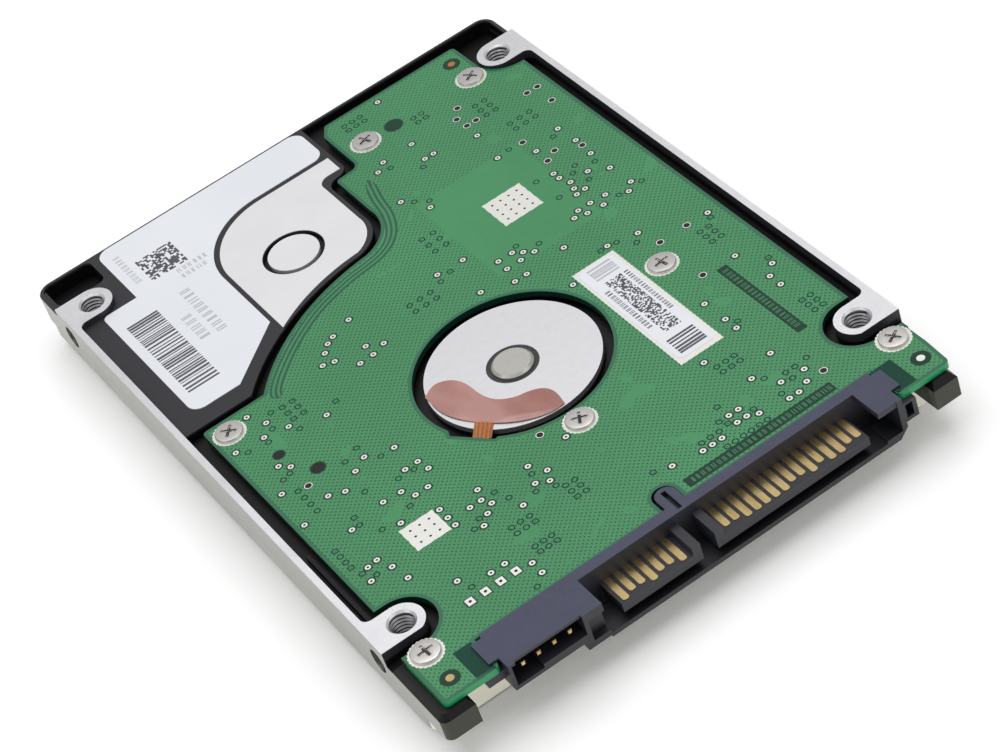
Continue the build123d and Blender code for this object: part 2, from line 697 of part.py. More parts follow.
with BuildPart() as coil_frame:
    with BuildSketch(Plane.XY.offset(coil_low)):
        add(sector(arm_hub_r - 1.0, coil_outer + frame_wall, coil_deg - coil_half - 3.0,
                   coil_deg + coil_half + 3.0))
        add(sector(coil_inner, coil_outer, coil_deg - coil_half, coil_deg + coil_half), mode=Mode.SUBTRACT)
        with Locations((pivot_x, pivot_y)):
            Circle(arm_hub_r, mode=Mode.SUBTRACT)
    extrude(amount=coil_high - coil_low)
save(coil_frame.part, "coil_frame")

# each suspension plate is listed with its slider: plate low, slider low, slider high
suspension_t = 0.15
head_levels = [(1.3, 1.45, 1.85), (3.05, 2.75, 3.05), (3.9, 4.05, 4.4), (5.75, 5.3, 5.75)]
with BuildPart() as head_suspensions:
    for low, slider_low, slider_high in head_levels:
        with BuildSketch(arm_plane.offset(low)):
            with BuildLine():
                Polyline((18.5, -1.8), (24.5, -1.8), (head_reach - 1.0, -0.6), (head_reach + 0.8, -0.3),
                         (tab_reach, -0.3), (tab_reach, 0.3), (head_reach + 0.8, 0.3),
                         (head_reach - 1.0, 0.6), (24.5, 1.8), (18.5, 1.8), close=True)
            make_face()
            with Locations((26.5, 0)):
                SlotOverall(4.0, 1.0, mode=Mode.SUBTRACT)
        extrude(amount=suspension_t)
save(head_suspensions.part, "head_suspensions")

with BuildPart() as head_sliders:
    for low, slider_low, slider_high in head_levels:
        with BuildSketch(arm_plane.offset(slider_low)):
            with Locations((head_reach - 0.4, 0)):
                Rectangle(1.2, 1.0)
        extrude(amount=slider_high - slider_low)
save(head_sliders.part, "head_sliders")

# load ramp: a block beyond the platter edge with fingers under the lift tabs
ramp_fingers = [(1.62, 1.82), (3.35, 3.75), (5.32, 5.6)]
with BuildPart() as load_ramp:
    with BuildSketch(Plane.XY.offset(1.0)):
        add(sector(tab_reach + 0.5, tab_reach + 3.0, park_deg - 3.0, park_deg + 4.0))
    extrude(amount=5.4)
    for low, high in ramp_fingers:
        with BuildSketch(Plane.XY.offset(low)):
            add(sector(head_reach + 0.9, tab_reach + 0.6, park_deg - 4.5, park_deg + 4.0))
        extrude(amount=high - low)
save(load_ramp.part, "load_ramp")

# magnet plates and magnets, above and below the coil
magnet_span = (104.5, 171.5)
for name, inner, outer, low, high in (("lower_magnet_plate", 7.4, 19.6, 0.7, 1.9),
                                      ("upper_magnet_plate", 7.4, 19.6, 6.2, 7.35),
                                      ("lower_magnet", 8.8, 18.4, 1.9, 2.9),
                                      ("upper_magnet", 8.8, 18.4, 5.1, 6.2)):
    inset = 0.0 if name.endswith("plate") else 3.0
    with BuildPart() as magnet_piece:
        with BuildSketch(Plane.XY.offset(low)):
            add(sector(inner, outer, magnet_span[0] + inset, magnet_span[1] - inset))
        extrude(amount=high - low)
    save(magnet_piece.part, name)

with BuildPart() as crash_stops:
    for turn in (100.5, 176.0):
        ring_at(0.65, 0, 2.6, floor_z, polar(14.0, turn))
save(crash_stops.part, "crash_stops")

# inertia latch on its own pin
latch_x = -27.9
latch_y = 22.6
with BuildPart() as latch_pin:
    ring_at(0.6, 0, cover_sheet, 6.6, (latch_x, latch_y))
    ring_at(1.1, 0, cover_sheet, 2.8, (latch_x, latch_y))
save(latch_pin.part, "latch_pin")

with BuildPart() as latch_lever:
    ring_at(1.5, 0.65, 3.1, 4.6, (latch_x, latch_y))
    with BuildSketch(Plane.XY.offset(3.1)):
        with Locations((latch_x, latch_y + 4.2)):
            Rectangle(0.8, 6.2)
        with Locations((latch_x + 0.55, latch_y + 6.9)):
            Rectangle(1.5, 0.8)
        with Locations((latch_x + 2.2, latch_y - 1.0)):
            RectangleRounded(2.6, 2.2, 0.5)
        with Locations((latch_x, latch_y)):
            Circle(0.65, mode=Mode.SUBTRACT)
    extrude(amount=1.5)
save(latch_lever.part, "latch_lever")

# head connector through the floor, flex strip, filters and desiccant
with BuildPart() as head_connector:
    with BuildSketch(Plane.XY.offset(5.0)):
        with Locations((15.0, 34.6)):
            Rectangle(11.8, 3.8)
    extrude(amount=board_low - 5.0)
save(head_connector.part, "head_connector")

with BuildPart() as head_flex:
    with BuildSketch(Plane.XY.offset(3.4)):
        with BuildLine() as strip_line:
            Line((12.0, 32.9), (6.0, 32.9))
            ThreePointArc((6.0, 32.9), (2.2, 34.6), (0.6, 38.4))
        trace(strip_line.line, line_width=0.24)
    extrude(amount=1.2)
save(head_flex.part, "head_flex")

with BuildPart() as breather_filter:
    with BuildSketch(Plane.XY.offset(cover_sheet)):
        with Locations((20.0, 43.5)):
            RectangleRounded(9.0, 6.0, 1.0)
    extrude(amount=2.4)
save(breather_filter.part, "breather_filter")

with BuildPart() as recirculation_filter:
    with BuildSketch(Plane.XY.offset(cover_sheet)):
        with Locations((-29.6, 15.6)):
            RectangleRounded(1.6, 5.0, 0.5, rotation=35)
    extrude(amount=5.4)
save(recirculation_filter.part, "recirculation_filter")

with BuildPart() as desiccant_pouch:
    with BuildSketch(Plane.XY.offset(cover_sheet)):
        with Locations((8.5, 43.5)):
            RectangleRounded(9.0, 6.0, 1.5)
    extrude(amount=2.4)
    fillet(desiccant_pouch.faces().sort_by(Axis.Z)[-1].edges(), 0.8)
save(desiccant_pouch.part, "desiccant_pouch")


# thin pieces on the visible face: labels, foil and the motor's flex circuit
with BuildPart() as base_label:
    with BuildSketch(Plane.XY.offset(raised_z)):
        with BuildLine():
            Polyline((-26.1, 49.5), (4.7, 49.5), (4.7, 42.2), (-5.7, 42.2))
            ThreePointArc((-5.7, 42.2), (-13.4, 39.1), (-16.45, 31.8))
            Polyline((-16.45, 31.8), (-16.45, 19.6), (-24.6, 12.7), (-31.1, 12.7), (-31.1, 37.6), (-26.1, 37.6),
                     (-26.1, 49.5))
        make_face()
    extrude(amount=0.1)
    corners = base_label.edges().filter_by(Axis.Z)
    for radius, spots in ((1.7, ((-26.1, 49.5), (4.7, 49.5), (4.7, 42.2), (-31.1, 12.7))),
                          (0.8, ((-31.1, 37.6),))):
        for x, y in spots:
            near = [e for e in corners if abs(e.center().X - x) < 0.02 and abs(e.center().Y - y) < 0.02]
            fillet(near, radius)
            corners = base_label.edges().filter_by(Axis.Z)
save(base_label.part, "base_label")

with BuildPart() as pivot_foil:
    with BuildSketch(Plane.XY.offset(raised_z)):
        with BuildLine():
            Polyline((-5.7, 41.4), (4.7, 41.4), (4.7, 38.2), (2.9, 38.2))
            ThreePointArc((2.9, 38.2), (1.6, 37.6), (1.3, 36.4))
            Line((1.3, 36.4), (1.3, 27.6))
            ThreePointArc((1.3, 27.6), (0.3, 23.9), (-2.2, 21.95))
            ThreePointArc((-2.2, 21.95), (-8.9, 20.75), (-15.8, 17.4))
            Line((-15.8, 17.4), (-15.8, 31.3))
            ThreePointArc((-15.8, 31.3), (-12.8, 38.5), (-5.7, 41.4))
        make_face()
        with Locations((pivot_x, pivot_y)):
            Circle(4.05, mode=Mode.SUBTRACT)
    extrude(amount=0.08)
save(pivot_foil.part, "pivot_foil")

with BuildPart() as board_label:
    with BuildSketch(Plane.XY.offset(board_high)):
        with Locations((16.05, -14.85)):
            RectangleRounded(5.1, 21.6, 0.8)
    extrude(amount=0.08)
save(board_label.part, "board_label")

with BuildPart() as motor_flex:
    with BuildSketch(Plane.XY.offset(disc_z)):
        with BuildLine():
            Line((-9.9, -6.9), (-8.1, -7.0))
            ThreePointArc((-8.1, -7.0), (-5.6, -8.9), (-5.4, -12.3))
            ThreePointArc((-5.4, -12.3), (-4.1, -15.0), (-1.2, -16.2))
            ThreePointArc((-1.2, -16.2), (0.35, -17.9), (0.2, -20.6))
            ThreePointArc((0.2, -20.6), (-7.6, -17.0), (-9.9, -6.9))
        make_face()
    extrude(amount=0.08)
    with BuildSketch(Plane.XY.offset(disc_z)):
        with Locations((-8.3, -16.1)):
            Rectangle(3.0, 1.9, rotation=-128)
    extrude(amount=0.08)
save(motor_flex.part, "motor_flex")
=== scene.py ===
import math
import random

import bpy
from mathutils import Matrix, Vector


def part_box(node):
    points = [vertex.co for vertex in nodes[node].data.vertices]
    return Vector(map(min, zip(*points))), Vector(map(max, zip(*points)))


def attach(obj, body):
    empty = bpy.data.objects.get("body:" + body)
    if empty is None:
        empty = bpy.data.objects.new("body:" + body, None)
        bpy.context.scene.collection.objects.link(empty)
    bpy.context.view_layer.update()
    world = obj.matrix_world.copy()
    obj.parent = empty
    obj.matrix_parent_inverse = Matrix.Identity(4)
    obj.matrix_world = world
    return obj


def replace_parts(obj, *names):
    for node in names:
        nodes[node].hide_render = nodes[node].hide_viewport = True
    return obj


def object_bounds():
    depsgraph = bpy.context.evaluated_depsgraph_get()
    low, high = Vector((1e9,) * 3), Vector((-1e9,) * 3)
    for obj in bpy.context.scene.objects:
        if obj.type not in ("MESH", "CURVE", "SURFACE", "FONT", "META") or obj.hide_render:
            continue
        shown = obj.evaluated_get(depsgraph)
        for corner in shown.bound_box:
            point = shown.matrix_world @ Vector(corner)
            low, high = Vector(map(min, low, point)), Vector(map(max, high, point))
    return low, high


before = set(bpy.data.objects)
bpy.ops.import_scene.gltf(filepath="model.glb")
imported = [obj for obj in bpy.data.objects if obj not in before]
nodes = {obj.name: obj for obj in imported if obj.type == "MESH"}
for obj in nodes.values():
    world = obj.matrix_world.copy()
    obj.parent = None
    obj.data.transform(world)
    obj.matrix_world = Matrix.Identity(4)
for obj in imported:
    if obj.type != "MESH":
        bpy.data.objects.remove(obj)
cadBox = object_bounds()
mm = 0.001
fineEdge = 0.2  # bevel of small plain shapes, as a part of their height
print("frame loaded:", len(nodes), "nodes")

# levels read from the frame
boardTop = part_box("circuit_board")[1].z
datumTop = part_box("base_casting")[1].z
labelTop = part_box("base_label")[1].z
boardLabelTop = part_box("board_label")[1].z
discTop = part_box("motor_base")[1].z
motorCentre = sum(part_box("motor_base"), Vector()) / 2
# the four bottom screw holes: their places from the middle between them, and their size
screwHoles = {"across": 30.86 * mm, "middle": 2.2 * mm, "along": 38.3 * mm, "radius": 1.5 * mm,
              "depth": 3.0 * mm}


# small helpers for working on the selection
def deselect():
    bpy.ops.object.select_all(action="DESELECT")


def pick(*things):
    deselect()
    for thing in things:
        thing.select_set(True)
    bpy.context.view_layer.objects.active = things[0]


# the place, turn and size go into the mesh
def settle(thing):
    pick(thing)
    bpy.ops.object.transform_apply(location=True, rotation=True, scale=True)
    return thing


def nameIt(thing, name):
    thing.name = name
    thing.data.name = name
    return thing


# opens edit mode with only the chosen faces selected
def editFaces(thing, choose):
    pick(thing)
    bpy.ops.object.mode_set(mode="EDIT")
    bpy.ops.mesh.select_mode(type="FACE")
    bpy.ops.mesh.select_all(action="DESELECT")
    bpy.ops.object.mode_set(mode="OBJECT")
    for face in thing.data.polygons:
        face.select = bool(choose(face))
    bpy.ops.object.mode_set(mode="EDIT")


def objectMode():
    bpy.ops.object.mode_set(mode="OBJECT")


def useModifier(thing, kind, **values):
    pick(thing)
    modifier = thing.modifiers.new(kind.lower(), kind)
    for key, value in values.items():
        setattr(modifier, key, value)
    bpy.ops.object.modifier_apply(modifier=modifier.name)
    return thing


# a copy with its own mesh, turned about Z and moved
def copyAt(pattern, place, turn=0.0):
    twin = pattern.copy()
    twin.data = pattern.data.copy()
    bpy.context.scene.collection.objects.link(twin)
    twin.data.transform(Matrix.Translation(place) @ Matrix.Rotation(turn, 4, "Z"))
    return twin


def joinAll(things, name):
    pick(*things)
    if len(things) > 1:
        bpy.ops.object.join()
    return nameIt(bpy.context.view_layer.objects.active, name)


# copies of one modelled shape at many places, joined into one piece; the pattern is removed
def scatter(pattern, places, name):
    twins = [copyAt(pattern, Vector(p[:3]), p[3] if len(p) > 3 else 0.0) for p in places]
    bpy.data.objects.remove(pattern)
    return joinAll(twins, name)


def soften(thing, width, segments, angle=50):
    return useModifier(thing, "BEVEL", width=width, segments=segments, limit_method="ANGLE",
                       angle_limit=math.radians(angle))


# a box with softened edges, which are very fine ones unless a bevel is given
def addBox(name, low, high, bevel=None, segments=2):
    low, high = Vector(low), Vector(high)
    bpy.ops.mesh.primitive_cube_add(size=1.0, location=(low + high) / 2, scale=high - low)
    thing = settle(nameIt(bpy.context.object, name))
    if bevel is None:
        bevel, segments = min(high - low) * fineEdge, 1
    return soften(thing, bevel, segments)


def addDisc(name, place, radius, height, sides=32, bevel=None, segments=2):
    x, y, z = place
    bpy.ops.mesh.primitive_cylinder_add(vertices=sides, radius=radius, depth=height,
                                        location=(x, y, z + height / 2))
    thing = settle(nameIt(bpy.context.object, name))
    if bevel is None:
        bevel, segments = min(height, radius) * fineEdge, 1
    return soften(thing, bevel, segments)


# in edit mode: the whole flat mesh is given its height
def giveHeight(rise):
    bpy.ops.mesh.select_all(action="SELECT")
    bpy.ops.mesh.extrude_region_move(TRANSFORM_OT_translate={"value": (0, 0, rise)})
    bpy.ops.mesh.select_all(action="SELECT")
    bpy.ops.mesh.normals_make_consistent(inside=False)
    objectMode()


# a flat ring: a filled circle is inset, the middle deleted, and the rim given its height
def addRing(name, place, inner, outer, height, sides=32):
    bpy.ops.mesh.primitive_circle_add(vertices=sides, radius=outer, fill_type="NGON", location=place)
    thing = settle(nameIt(bpy.context.object, name))
    editFaces(thing, lambda face: True)
    bpy.ops.mesh.inset(thickness=(outer - inner) * math.cos(math.pi / sides))
    bpy.ops.mesh.delete(type="FACE")
    giveHeight(height)
    return thing


# a grid of cells of this width and length, lying flat
def addGrid(name, place, width, length, across, along):
    bpy.ops.mesh.primitive_grid_add(x_subdivisions=across, y_subdivisions=along, size=mm, location=place)
    bpy.context.object.scale = (width, length, 1.0)
    return settle(nameIt(bpy.context.object, name))


# a plan place in millimetres, put on a level
def onLevel(x, y, level):
    return (x * mm, y * mm, level)


def finishPiece(thing, material, body="drive_body", smooth=None):
    thing.data.materials.clear()
    thing.data.materials.append(material)
    if smooth:
        pick(thing)
        bpy.ops.object.shade_smooth_by_angle(angle=math.radians(smooth))
    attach(thing, body)
    return thing


# shared shader groups
def newGroup(name, inputs, outputs):
    tree = bpy.data.node_groups.new(name, "ShaderNodeTree")
    for label, kind, value in inputs:
        socket = tree.interface.new_socket(name=label, in_out="INPUT", socket_type=kind)
        if value is not None:
            socket.default_value = value
    for label, kind in outputs:
        tree.interface.new_socket(name=label, in_out="OUTPUT", socket_type=kind)
    source = tree.nodes.new("NodeGroupInput")
    sink = tree.nodes.new("NodeGroupOutput")
    return tree, source, sink


def mathNode(tree, operation, first, second=None):
    node = tree.nodes.new("ShaderNodeMath")
    node.operation = operation
    for socket, value in zip(node.inputs, (first, second)):
        if value is None:
            continue
        if isinstance(value, (int, float)):
            socket.default_value = value
        else:
            tree.links.new(value, socket)
    return node.outputs[0]


def mixColour(tree, amount, first, second):
    node = tree.nodes.new("ShaderNodeMix")
    node.data_type = "RGBA"
    for socket, value in ((node.inputs[0], amount), (node.inputs[6], first), (node.inputs[7], second)):
        if isinstance(value, tuple):
            socket.default_value = (*value, 1.0)
        else:
            tree.links.new(value, socket)
    return node.outputs[2]


# fine and coarse noise: a value about 0.5 that varies over the surface, and a height for bump
def makeGrainGroup():
    tree, source, sink = newGroup(
        "surfaceGrain",
        [("Vector", "NodeSocketVector", None), ("Fine Scale", "NodeSocketFloat", 3000.0),
         ("Coarse Scale", "NodeSocketFloat", 150.0), ("Coarse Part", "NodeSocketFloat", 0.5)],
        [("Value", "NodeSocketFloat"), ("Height", "NodeSocketFloat")])
    fine = tree.nodes.new("ShaderNodeTexNoise")
    coarse = tree.nodes.new("ShaderNodeTexNoise")
    fine.inputs["Detail"].default_value = 3.0
    coarse.inputs["Detail"].default_value = 4.0
    tree.links.new(source.outputs["Vector"], fine.inputs["Vector"])
    tree.links.new(source.outputs["Vector"], coarse.inputs["Vector"])
    tree.links.new(source.outputs["Fine Scale"], fine.inputs["Scale"])
    tree.links.new(source.outputs["Coarse Scale"], coarse.inputs["Scale"])
    mix = tree.nodes.new("ShaderNodeMix")
    tree.links.new(source.outputs["Coarse Part"], mix.inputs[0])
    tree.links.new(fine.outputs["Fac"], mix.inputs[2])
    tree.links.new(coarse.outputs["Fac"], mix.inputs[3])
    tree.links.new(mix.outputs[0], sink.inputs["Value"])
    tree.links.new(fine.outputs["Fac"], sink.inputs["Height"])
    return tree


grainGroup = makeGrainGroup()


def newMaterial(name, colour, roughness, metallic=0.0, **sockets):
    material = bpy.data.materials.new(name)
    material.use_nodes = True
    tree = material.node_tree
    shader = tree.nodes["Principled BSDF"]
    shader.inputs["Base Color"].default_value = (*colour, 1.0)
    shader.inputs["Roughness"].default_value = roughness
    shader.inputs["Metallic"].default_value = metallic
    for key, value in sockets.items():
        shader.inputs[key.replace("_", " ")].default_value = value
    return material, tree, shader


# object coordinates through a mapping node
def objectPlace(tree, stretch=(1, 1, 1), turn=(0, 0, 0)):
    texture = tree.nodes.new("ShaderNodeTexCoord")
    mapping = tree.nodes.new("ShaderNodeMapping")
    mapping.inputs["Scale"].default_value = stretch
    mapping.inputs["Rotation"].default_value = turn
    tree.links.new(texture.outputs["Object"], mapping.inputs["Vector"])
    return mapping.outputs[0]


def grainNode(tree, place, fine, coarse, part):
    node = tree.nodes.new("ShaderNodeGroup")
    node.node_tree = grainGroup
    tree.links.new(place, node.inputs["Vector"])
    node.inputs["Fine Scale"].default_value = fine
    node.inputs["Coarse Scale"].default_value = coarse
    node.inputs["Coarse Part"].default_value = part
    return node


def spread(tree, value, low, high, fromLow=0.3, fromHigh=0.7):
    node = tree.nodes.new("ShaderNodeMapRange")
    node.inputs["From Min"].default_value = fromLow
    node.inputs["From Max"].default_value = fromHigh
    node.inputs["To Min"].default_value = low
    node.inputs["To Max"].default_value = high
    tree.links.new(value, node.inputs["Value"])
    return node.outputs[0]


def bumpFrom(tree, shader, height, strength, distance):
    node = tree.nodes.new("ShaderNodeBump")
    node.inputs["Strength"].default_value = strength
    node.inputs["Distance"].default_value = distance
    tree.links.new(height, node.inputs["Height"])
    tree.links.new(node.outputs[0], shader.inputs["Normal"])


# a colour that wanders from the first to the second with the grain
def grainColour(tree, grain, first, second, share=1.0):
    return mixColour(tree, spread(tree, grain.outputs["Value"], 0.0, share), first, second)


# object coordinates, whole and split into x, y and z
def objectParts(tree):
    texture = tree.nodes.new("ShaderNodeTexCoord")
    split = tree.nodes.new("ShaderNodeSeparateXYZ")
    tree.links.new(texture.outputs["Object"], split.inputs[0])
    return texture.outputs["Object"], split.outputs


# the length of the two sides' diagonal
def diagonal(tree, first, second):
    squares = [mathNode(tree, "MULTIPLY", side, side) for side in (first, second)]
    return mathNode(tree, "SQRT", mathNode(tree, "ADD", *squares))


fineBump = 0.00002  # metres


# a surface whose colour and roughness wander with the grain, with a fine bump
def grainy(name, dark, light, rough, metallic=0.0, fine=4000.0, coarse=180.0, part=0.5, bump=0.15,
           stretch=(1, 1, 1), **sockets):
    material, tree, shader = newMaterial(name, light, rough[1], metallic, **sockets)
    grain = grainNode(tree, objectPlace(tree, stretch), fine, coarse, part)
    tree.links.new(grainColour(tree, grain, dark, light), shader.inputs["Base Color"])
    tree.links.new(spread(tree, grain.outputs["Value"], rough[1], rough[0]), shader.inputs["Roughness"])
    bumpFrom(tree, shader, grain.outputs["Height"], bump, fineBump)
    return material


# finishes
finishes = {
    "screwNickel": dict(dark=(0.6, 0.58, 0.56), light=(0.76, 0.74, 0.72), rough=(0.24, 0.36), metallic=1.0),
    "tinned": dict(dark=(0.82, 0.81, 0.76), light=(0.96, 0.95, 0.9), rough=(0.25, 0.45), metallic=0.55,
                   fine=2500.0),
    "goldPlate": dict(dark=(0.46, 0.33, 0.13), light=(0.78, 0.6, 0.3), rough=(0.2, 0.4), metallic=1.0,
                      fine=2200.0, part=0.35, stretch=(1, 0.2, 1)),
    "discMetal": dict(dark=(0.8, 0.8, 0.83), light=(0.93, 0.93, 0.96), rough=(0.3, 0.4), metallic=0.9,
                      fine=900.0),
    "buttonMetal": dict(dark=(0.56, 0.55, 0.51), light=(0.69, 0.68, 0.63), rough=(0.25, 0.36),
                        metallic=0.9),
    "labelPaper": dict(dark=(0.76, 0.78, 0.83), light=(0.81, 0.83, 0.88), rough=(0.42, 0.5), bump=0.05,
                       coarse=60.0, part=0.8),
    "foilSkin": dict(dark=(0.82, 0.81, 0.83), light=(0.95, 0.94, 0.96), rough=(0.28, 0.4), metallic=0.45,
                     coarse=120.0, part=0.8, bump=0.1),
    "ink": dict(dark=(0.05, 0.05, 0.06), light=(0.11, 0.11, 0.13), rough=(0.5, 0.6)),
    "greyInk": dict(dark=(0.45, 0.46, 0.5), light=(0.56, 0.57, 0.6), rough=(0.5, 0.6)),
    "copperSkin": dict(dark=(0.45, 0.15, 0.05), light=(0.75, 0.32, 0.12), rough=(0.25, 0.35), metallic=0.8),
    "chipEpoxy": dict(dark=(0.015, 0.015, 0.016), light=(0.03, 0.03, 0.032), rough=(0.5, 0.6)),
    "darkFilm": dict(dark=(0.02, 0.02, 0.02), light=(0.04, 0.04, 0.04), rough=(0.35, 0.5)),
    "rubber": dict(dark=(0.01, 0.01, 0.01), light=(0.025, 0.025, 0.025), rough=(0.7, 0.85)),
    "steel": dict(dark=(0.5, 0.5, 0.5), light=(0.68, 0.68, 0.68), rough=(0.22, 0.34), metallic=1.0),
    "lamination": dict(dark=(0.2, 0.2, 0.21), light=(0.34, 0.34, 0.35), rough=(0.35, 0.5), metallic=1.0,
                       stretch=(0.1, 0.1, 8.0), fine=900.0),
    "brassSleeve": dict(dark=(0.5, 0.36, 0.14), light=(0.7, 0.54, 0.25), rough=(0.22, 0.34), metallic=1.0),
    "copperWire": dict(dark=(0.4, 0.13, 0.04), light=(0.72, 0.3, 0.12), rough=(0.2, 0.4), metallic=1.0,
                       stretch=(0.2, 0.2, 6.0), fine=1500.0, bump=0.6),
    "hubAluminium": dict(dark=(0.66, 0.66, 0.68), light=(0.82, 0.82, 0.84), rough=(0.24, 0.34),
                         metallic=1.0),
    "magnetNickel": dict(dark=(0.55, 0.54, 0.5), light=(0.72, 0.71, 0.66), rough=(0.16, 0.26),
                         metallic=1.0),
    "platterMirror": dict(dark=(0.78, 0.78, 0.8), light=(0.86, 0.86, 0.88), rough=(0.02, 0.06),
                          metallic=1.0, bump=0.01),
    "sliderCeramic": dict(dark=(0.04, 0.04, 0.045), light=(0.08, 0.08, 0.09), rough=(0.2, 0.3)),
    "creamPolymer": dict(dark=(0.6, 0.56, 0.44), light=(0.72, 0.68, 0.56), rough=(0.4, 0.5)),
    "ceramicChip": dict(dark=(0.25, 0.18, 0.12), light=(0.45, 0.36, 0.27), rough=(0.35, 0.5)),
    "felt": dict(dark=(0.72, 0.72, 0.7), light=(0.86, 0.86, 0.84), rough=(0.85, 0.95), fine=6000.0,
                 bump=0.8),
    # near-black discs of painted shade, set where holes are
    "holeShade": dict(dark=(0.003, 0.003, 0.004), light=(0.008, 0.008, 0.01), rough=(0.6, 0.8)),
    "maskDark": dict(dark=(0.003, 0.035, 0.017), light=(0.006, 0.05, 0.025), rough=(0.45, 0.55),
                     Specular_IOR_Level=0.3),
    "maskEdge": dict(dark=(0.018, 0.125, 0.06), light=(0.025, 0.16, 0.078), rough=(0.34, 0.44)),
    "maskTeal": dict(dark=(0.001, 0.04, 0.024), light=(0.003, 0.058, 0.036), rough=(0.5, 0.6),
                     Specular_IOR_Level=0.25),
    "maskTrace": dict(dark=(0.035, 0.17, 0.08), light=(0.05, 0.21, 0.1), rough=(0.34, 0.44)),
    "threadMetal": dict(dark=(0.3, 0.3, 0.31), light=(0.46, 0.46, 0.47), rough=(0.25, 0.4), metallic=1.0),
    "crossBrown": dict(dark=(0.02, 0.016, 0.014), light=(0.05, 0.04, 0.035), rough=(0.6, 0.8)),
    "maskDarkEdge": dict(dark=(0.008, 0.085, 0.038), light=(0.012, 0.11, 0.05), rough=(0.45, 0.55)),
    "maskTrack": dict(dark=(0.04, 0.21, 0.09), light=(0.055, 0.26, 0.115), rough=(0.3, 0.4)),
    "amberFilm": dict(dark=(0.3, 0.1, 0.03), light=(0.42, 0.16, 0.05), rough=(0.25, 0.35)),
}
finish = {name: grainy(name, **values) for name, values in finishes.items()}
print("finishes made:", len(finish))


# black paint all over, left bare where the machine has cut: top strips and bosses, sides, screw holes; lower
# surfaces get a darker painted shade, and the sides a darker copy of the bare metal as painted shade
castingSet = {
    "deep": (0.002, 0.002, 0.003), "paint": (0.03, 0.03, 0.035), "foot": (0.05, 0.05, 0.036),
    "bare": (0.92, 0.92, 0.95), "bareShade": (0.62, 0.62, 0.65), "side": (0.4, 0.4, 0.37),
    "sideShade": (0.26, 0.26, 0.24), "cutLevel": datumTop - 0.04 * mm, "raisedLevel": labelTop - 0.4 * mm,
    "sideReach": 34.9 * mm, "holeReach": 1.82 * mm, "mouthLevel": datumTop - 0.45 * mm,
    "footReach": -49.0 * mm, "footLevel": 7.4 * mm,
    "sideHoleLevel": 6.5 * mm, "sideHoleReach": 1.56 * mm, "sideHoleDepth": 32.5 * mm}


def makeCastingFinish(look):
    material, tree, shader = newMaterial("castingPaint", look["paint"], 0.4, Specular_IOR_Level=0.3)
    place, (x, y, z) = objectParts(tree)
    across = mathNode(tree, "ABSOLUTE", x)
    along = mathNode(tree, "ABSOLUTE", mathNode(tree, "SUBTRACT", y, screwHoles["middle"]))
    sideways = mathNode(tree, "SUBTRACT", across, screwHoles["across"])
    lengthways = mathNode(tree, "SUBTRACT", along, screwHoles["along"])
    # the bottom holes are bare at their mouths only, the side holes all the way in
    mouth = mathNode(tree, "GREATER_THAN", z, look["mouthLevel"])
    hole = mathNode(tree, "LESS_THAN", diagonal(tree, sideways, lengthways), look["holeReach"])
    upward = mathNode(tree, "SUBTRACT", z, look["sideHoleLevel"])
    sideHole = mathNode(tree, "LESS_THAN", diagonal(tree, upward, lengthways), look["sideHoleReach"])
    outer = mathNode(tree, "GREATER_THAN", across, look["sideHoleDepth"])
    bare = mathNode(tree, "MAXIMUM", mathNode(tree, "GREATER_THAN", z, look["cutLevel"]),
                    mathNode(tree, "MULTIPLY", hole, mouth))
    side = mathNode(tree, "MAXIMUM", mathNode(tree, "GREATER_THAN", across, look["sideReach"]),
                    mathNode(tree, "MULTIPLY", sideHole, outer))
    foot = mathNode(tree, "MULTIPLY", mathNode(tree, "LESS_THAN", y, look["footReach"]),
                    mathNode(tree, "LESS_THAN", z, look["footLevel"]))
    grain = grainNode(tree, place, 5000.0, 160.0, 0.4)
    raised = mathNode(tree, "GREATER_THAN", z, look["raisedLevel"])
    # painted shade: surfaces below the raised level get a darker paint colour
    paint = mixColour(tree, raised, look["deep"], look["paint"])
    paint = mixColour(tree, foot, paint, look["foot"])
    metal = grainColour(tree, grain, look["bare"], look["bareShade"], 0.3)
    # painted shade: the sides and the side holes get a darker copy of the bare metal
    shadedFlank = grainColour(tree, grain, look["side"], look["sideShade"], 0.4)
    colour = mixColour(tree, bare, mixColour(tree, side, paint, shadedFlank), metal)
    tree.links.new(colour, shader.inputs["Base Color"])
    metallic = mathNode(tree, "MAXIMUM", bare, side)
    tree.links.new(metallic, shader.inputs["Metallic"])
    rough = mathNode(tree, "SUBTRACT", spread(tree, grain.outputs["Value"], 0.52, 0.4),
                     mathNode(tree, "MULTIPLY", metallic, 0.1))
    tree.links.new(rough, shader.inputs["Roughness"])
    bumpFrom(tree, shader, grain.outputs["Height"], 0.2, fineBump)
    return material


# green mask over a copper pour that is pierced by a diagonal grid of small openings
maskSet = {
    "mask": (0.036, 0.232, 0.083), "maskLight": (0.052, 0.28, 0.108), "opening": (0.008, 0.07, 0.03),
    "rim": (0.006, 0.3, 0.1), "wall": (0.002, 0.03, 0.018), "wallReach": -41.0 * mm, "pitch": 0.72 * mm,
    "openingHalf": 0.2, "plainLow": (7.2, 3.2), "plainHigh": (22.3, 23.2), "patchScale": 210.0,
    "patchLimit": 0.67, "skin": 0.02 * mm}


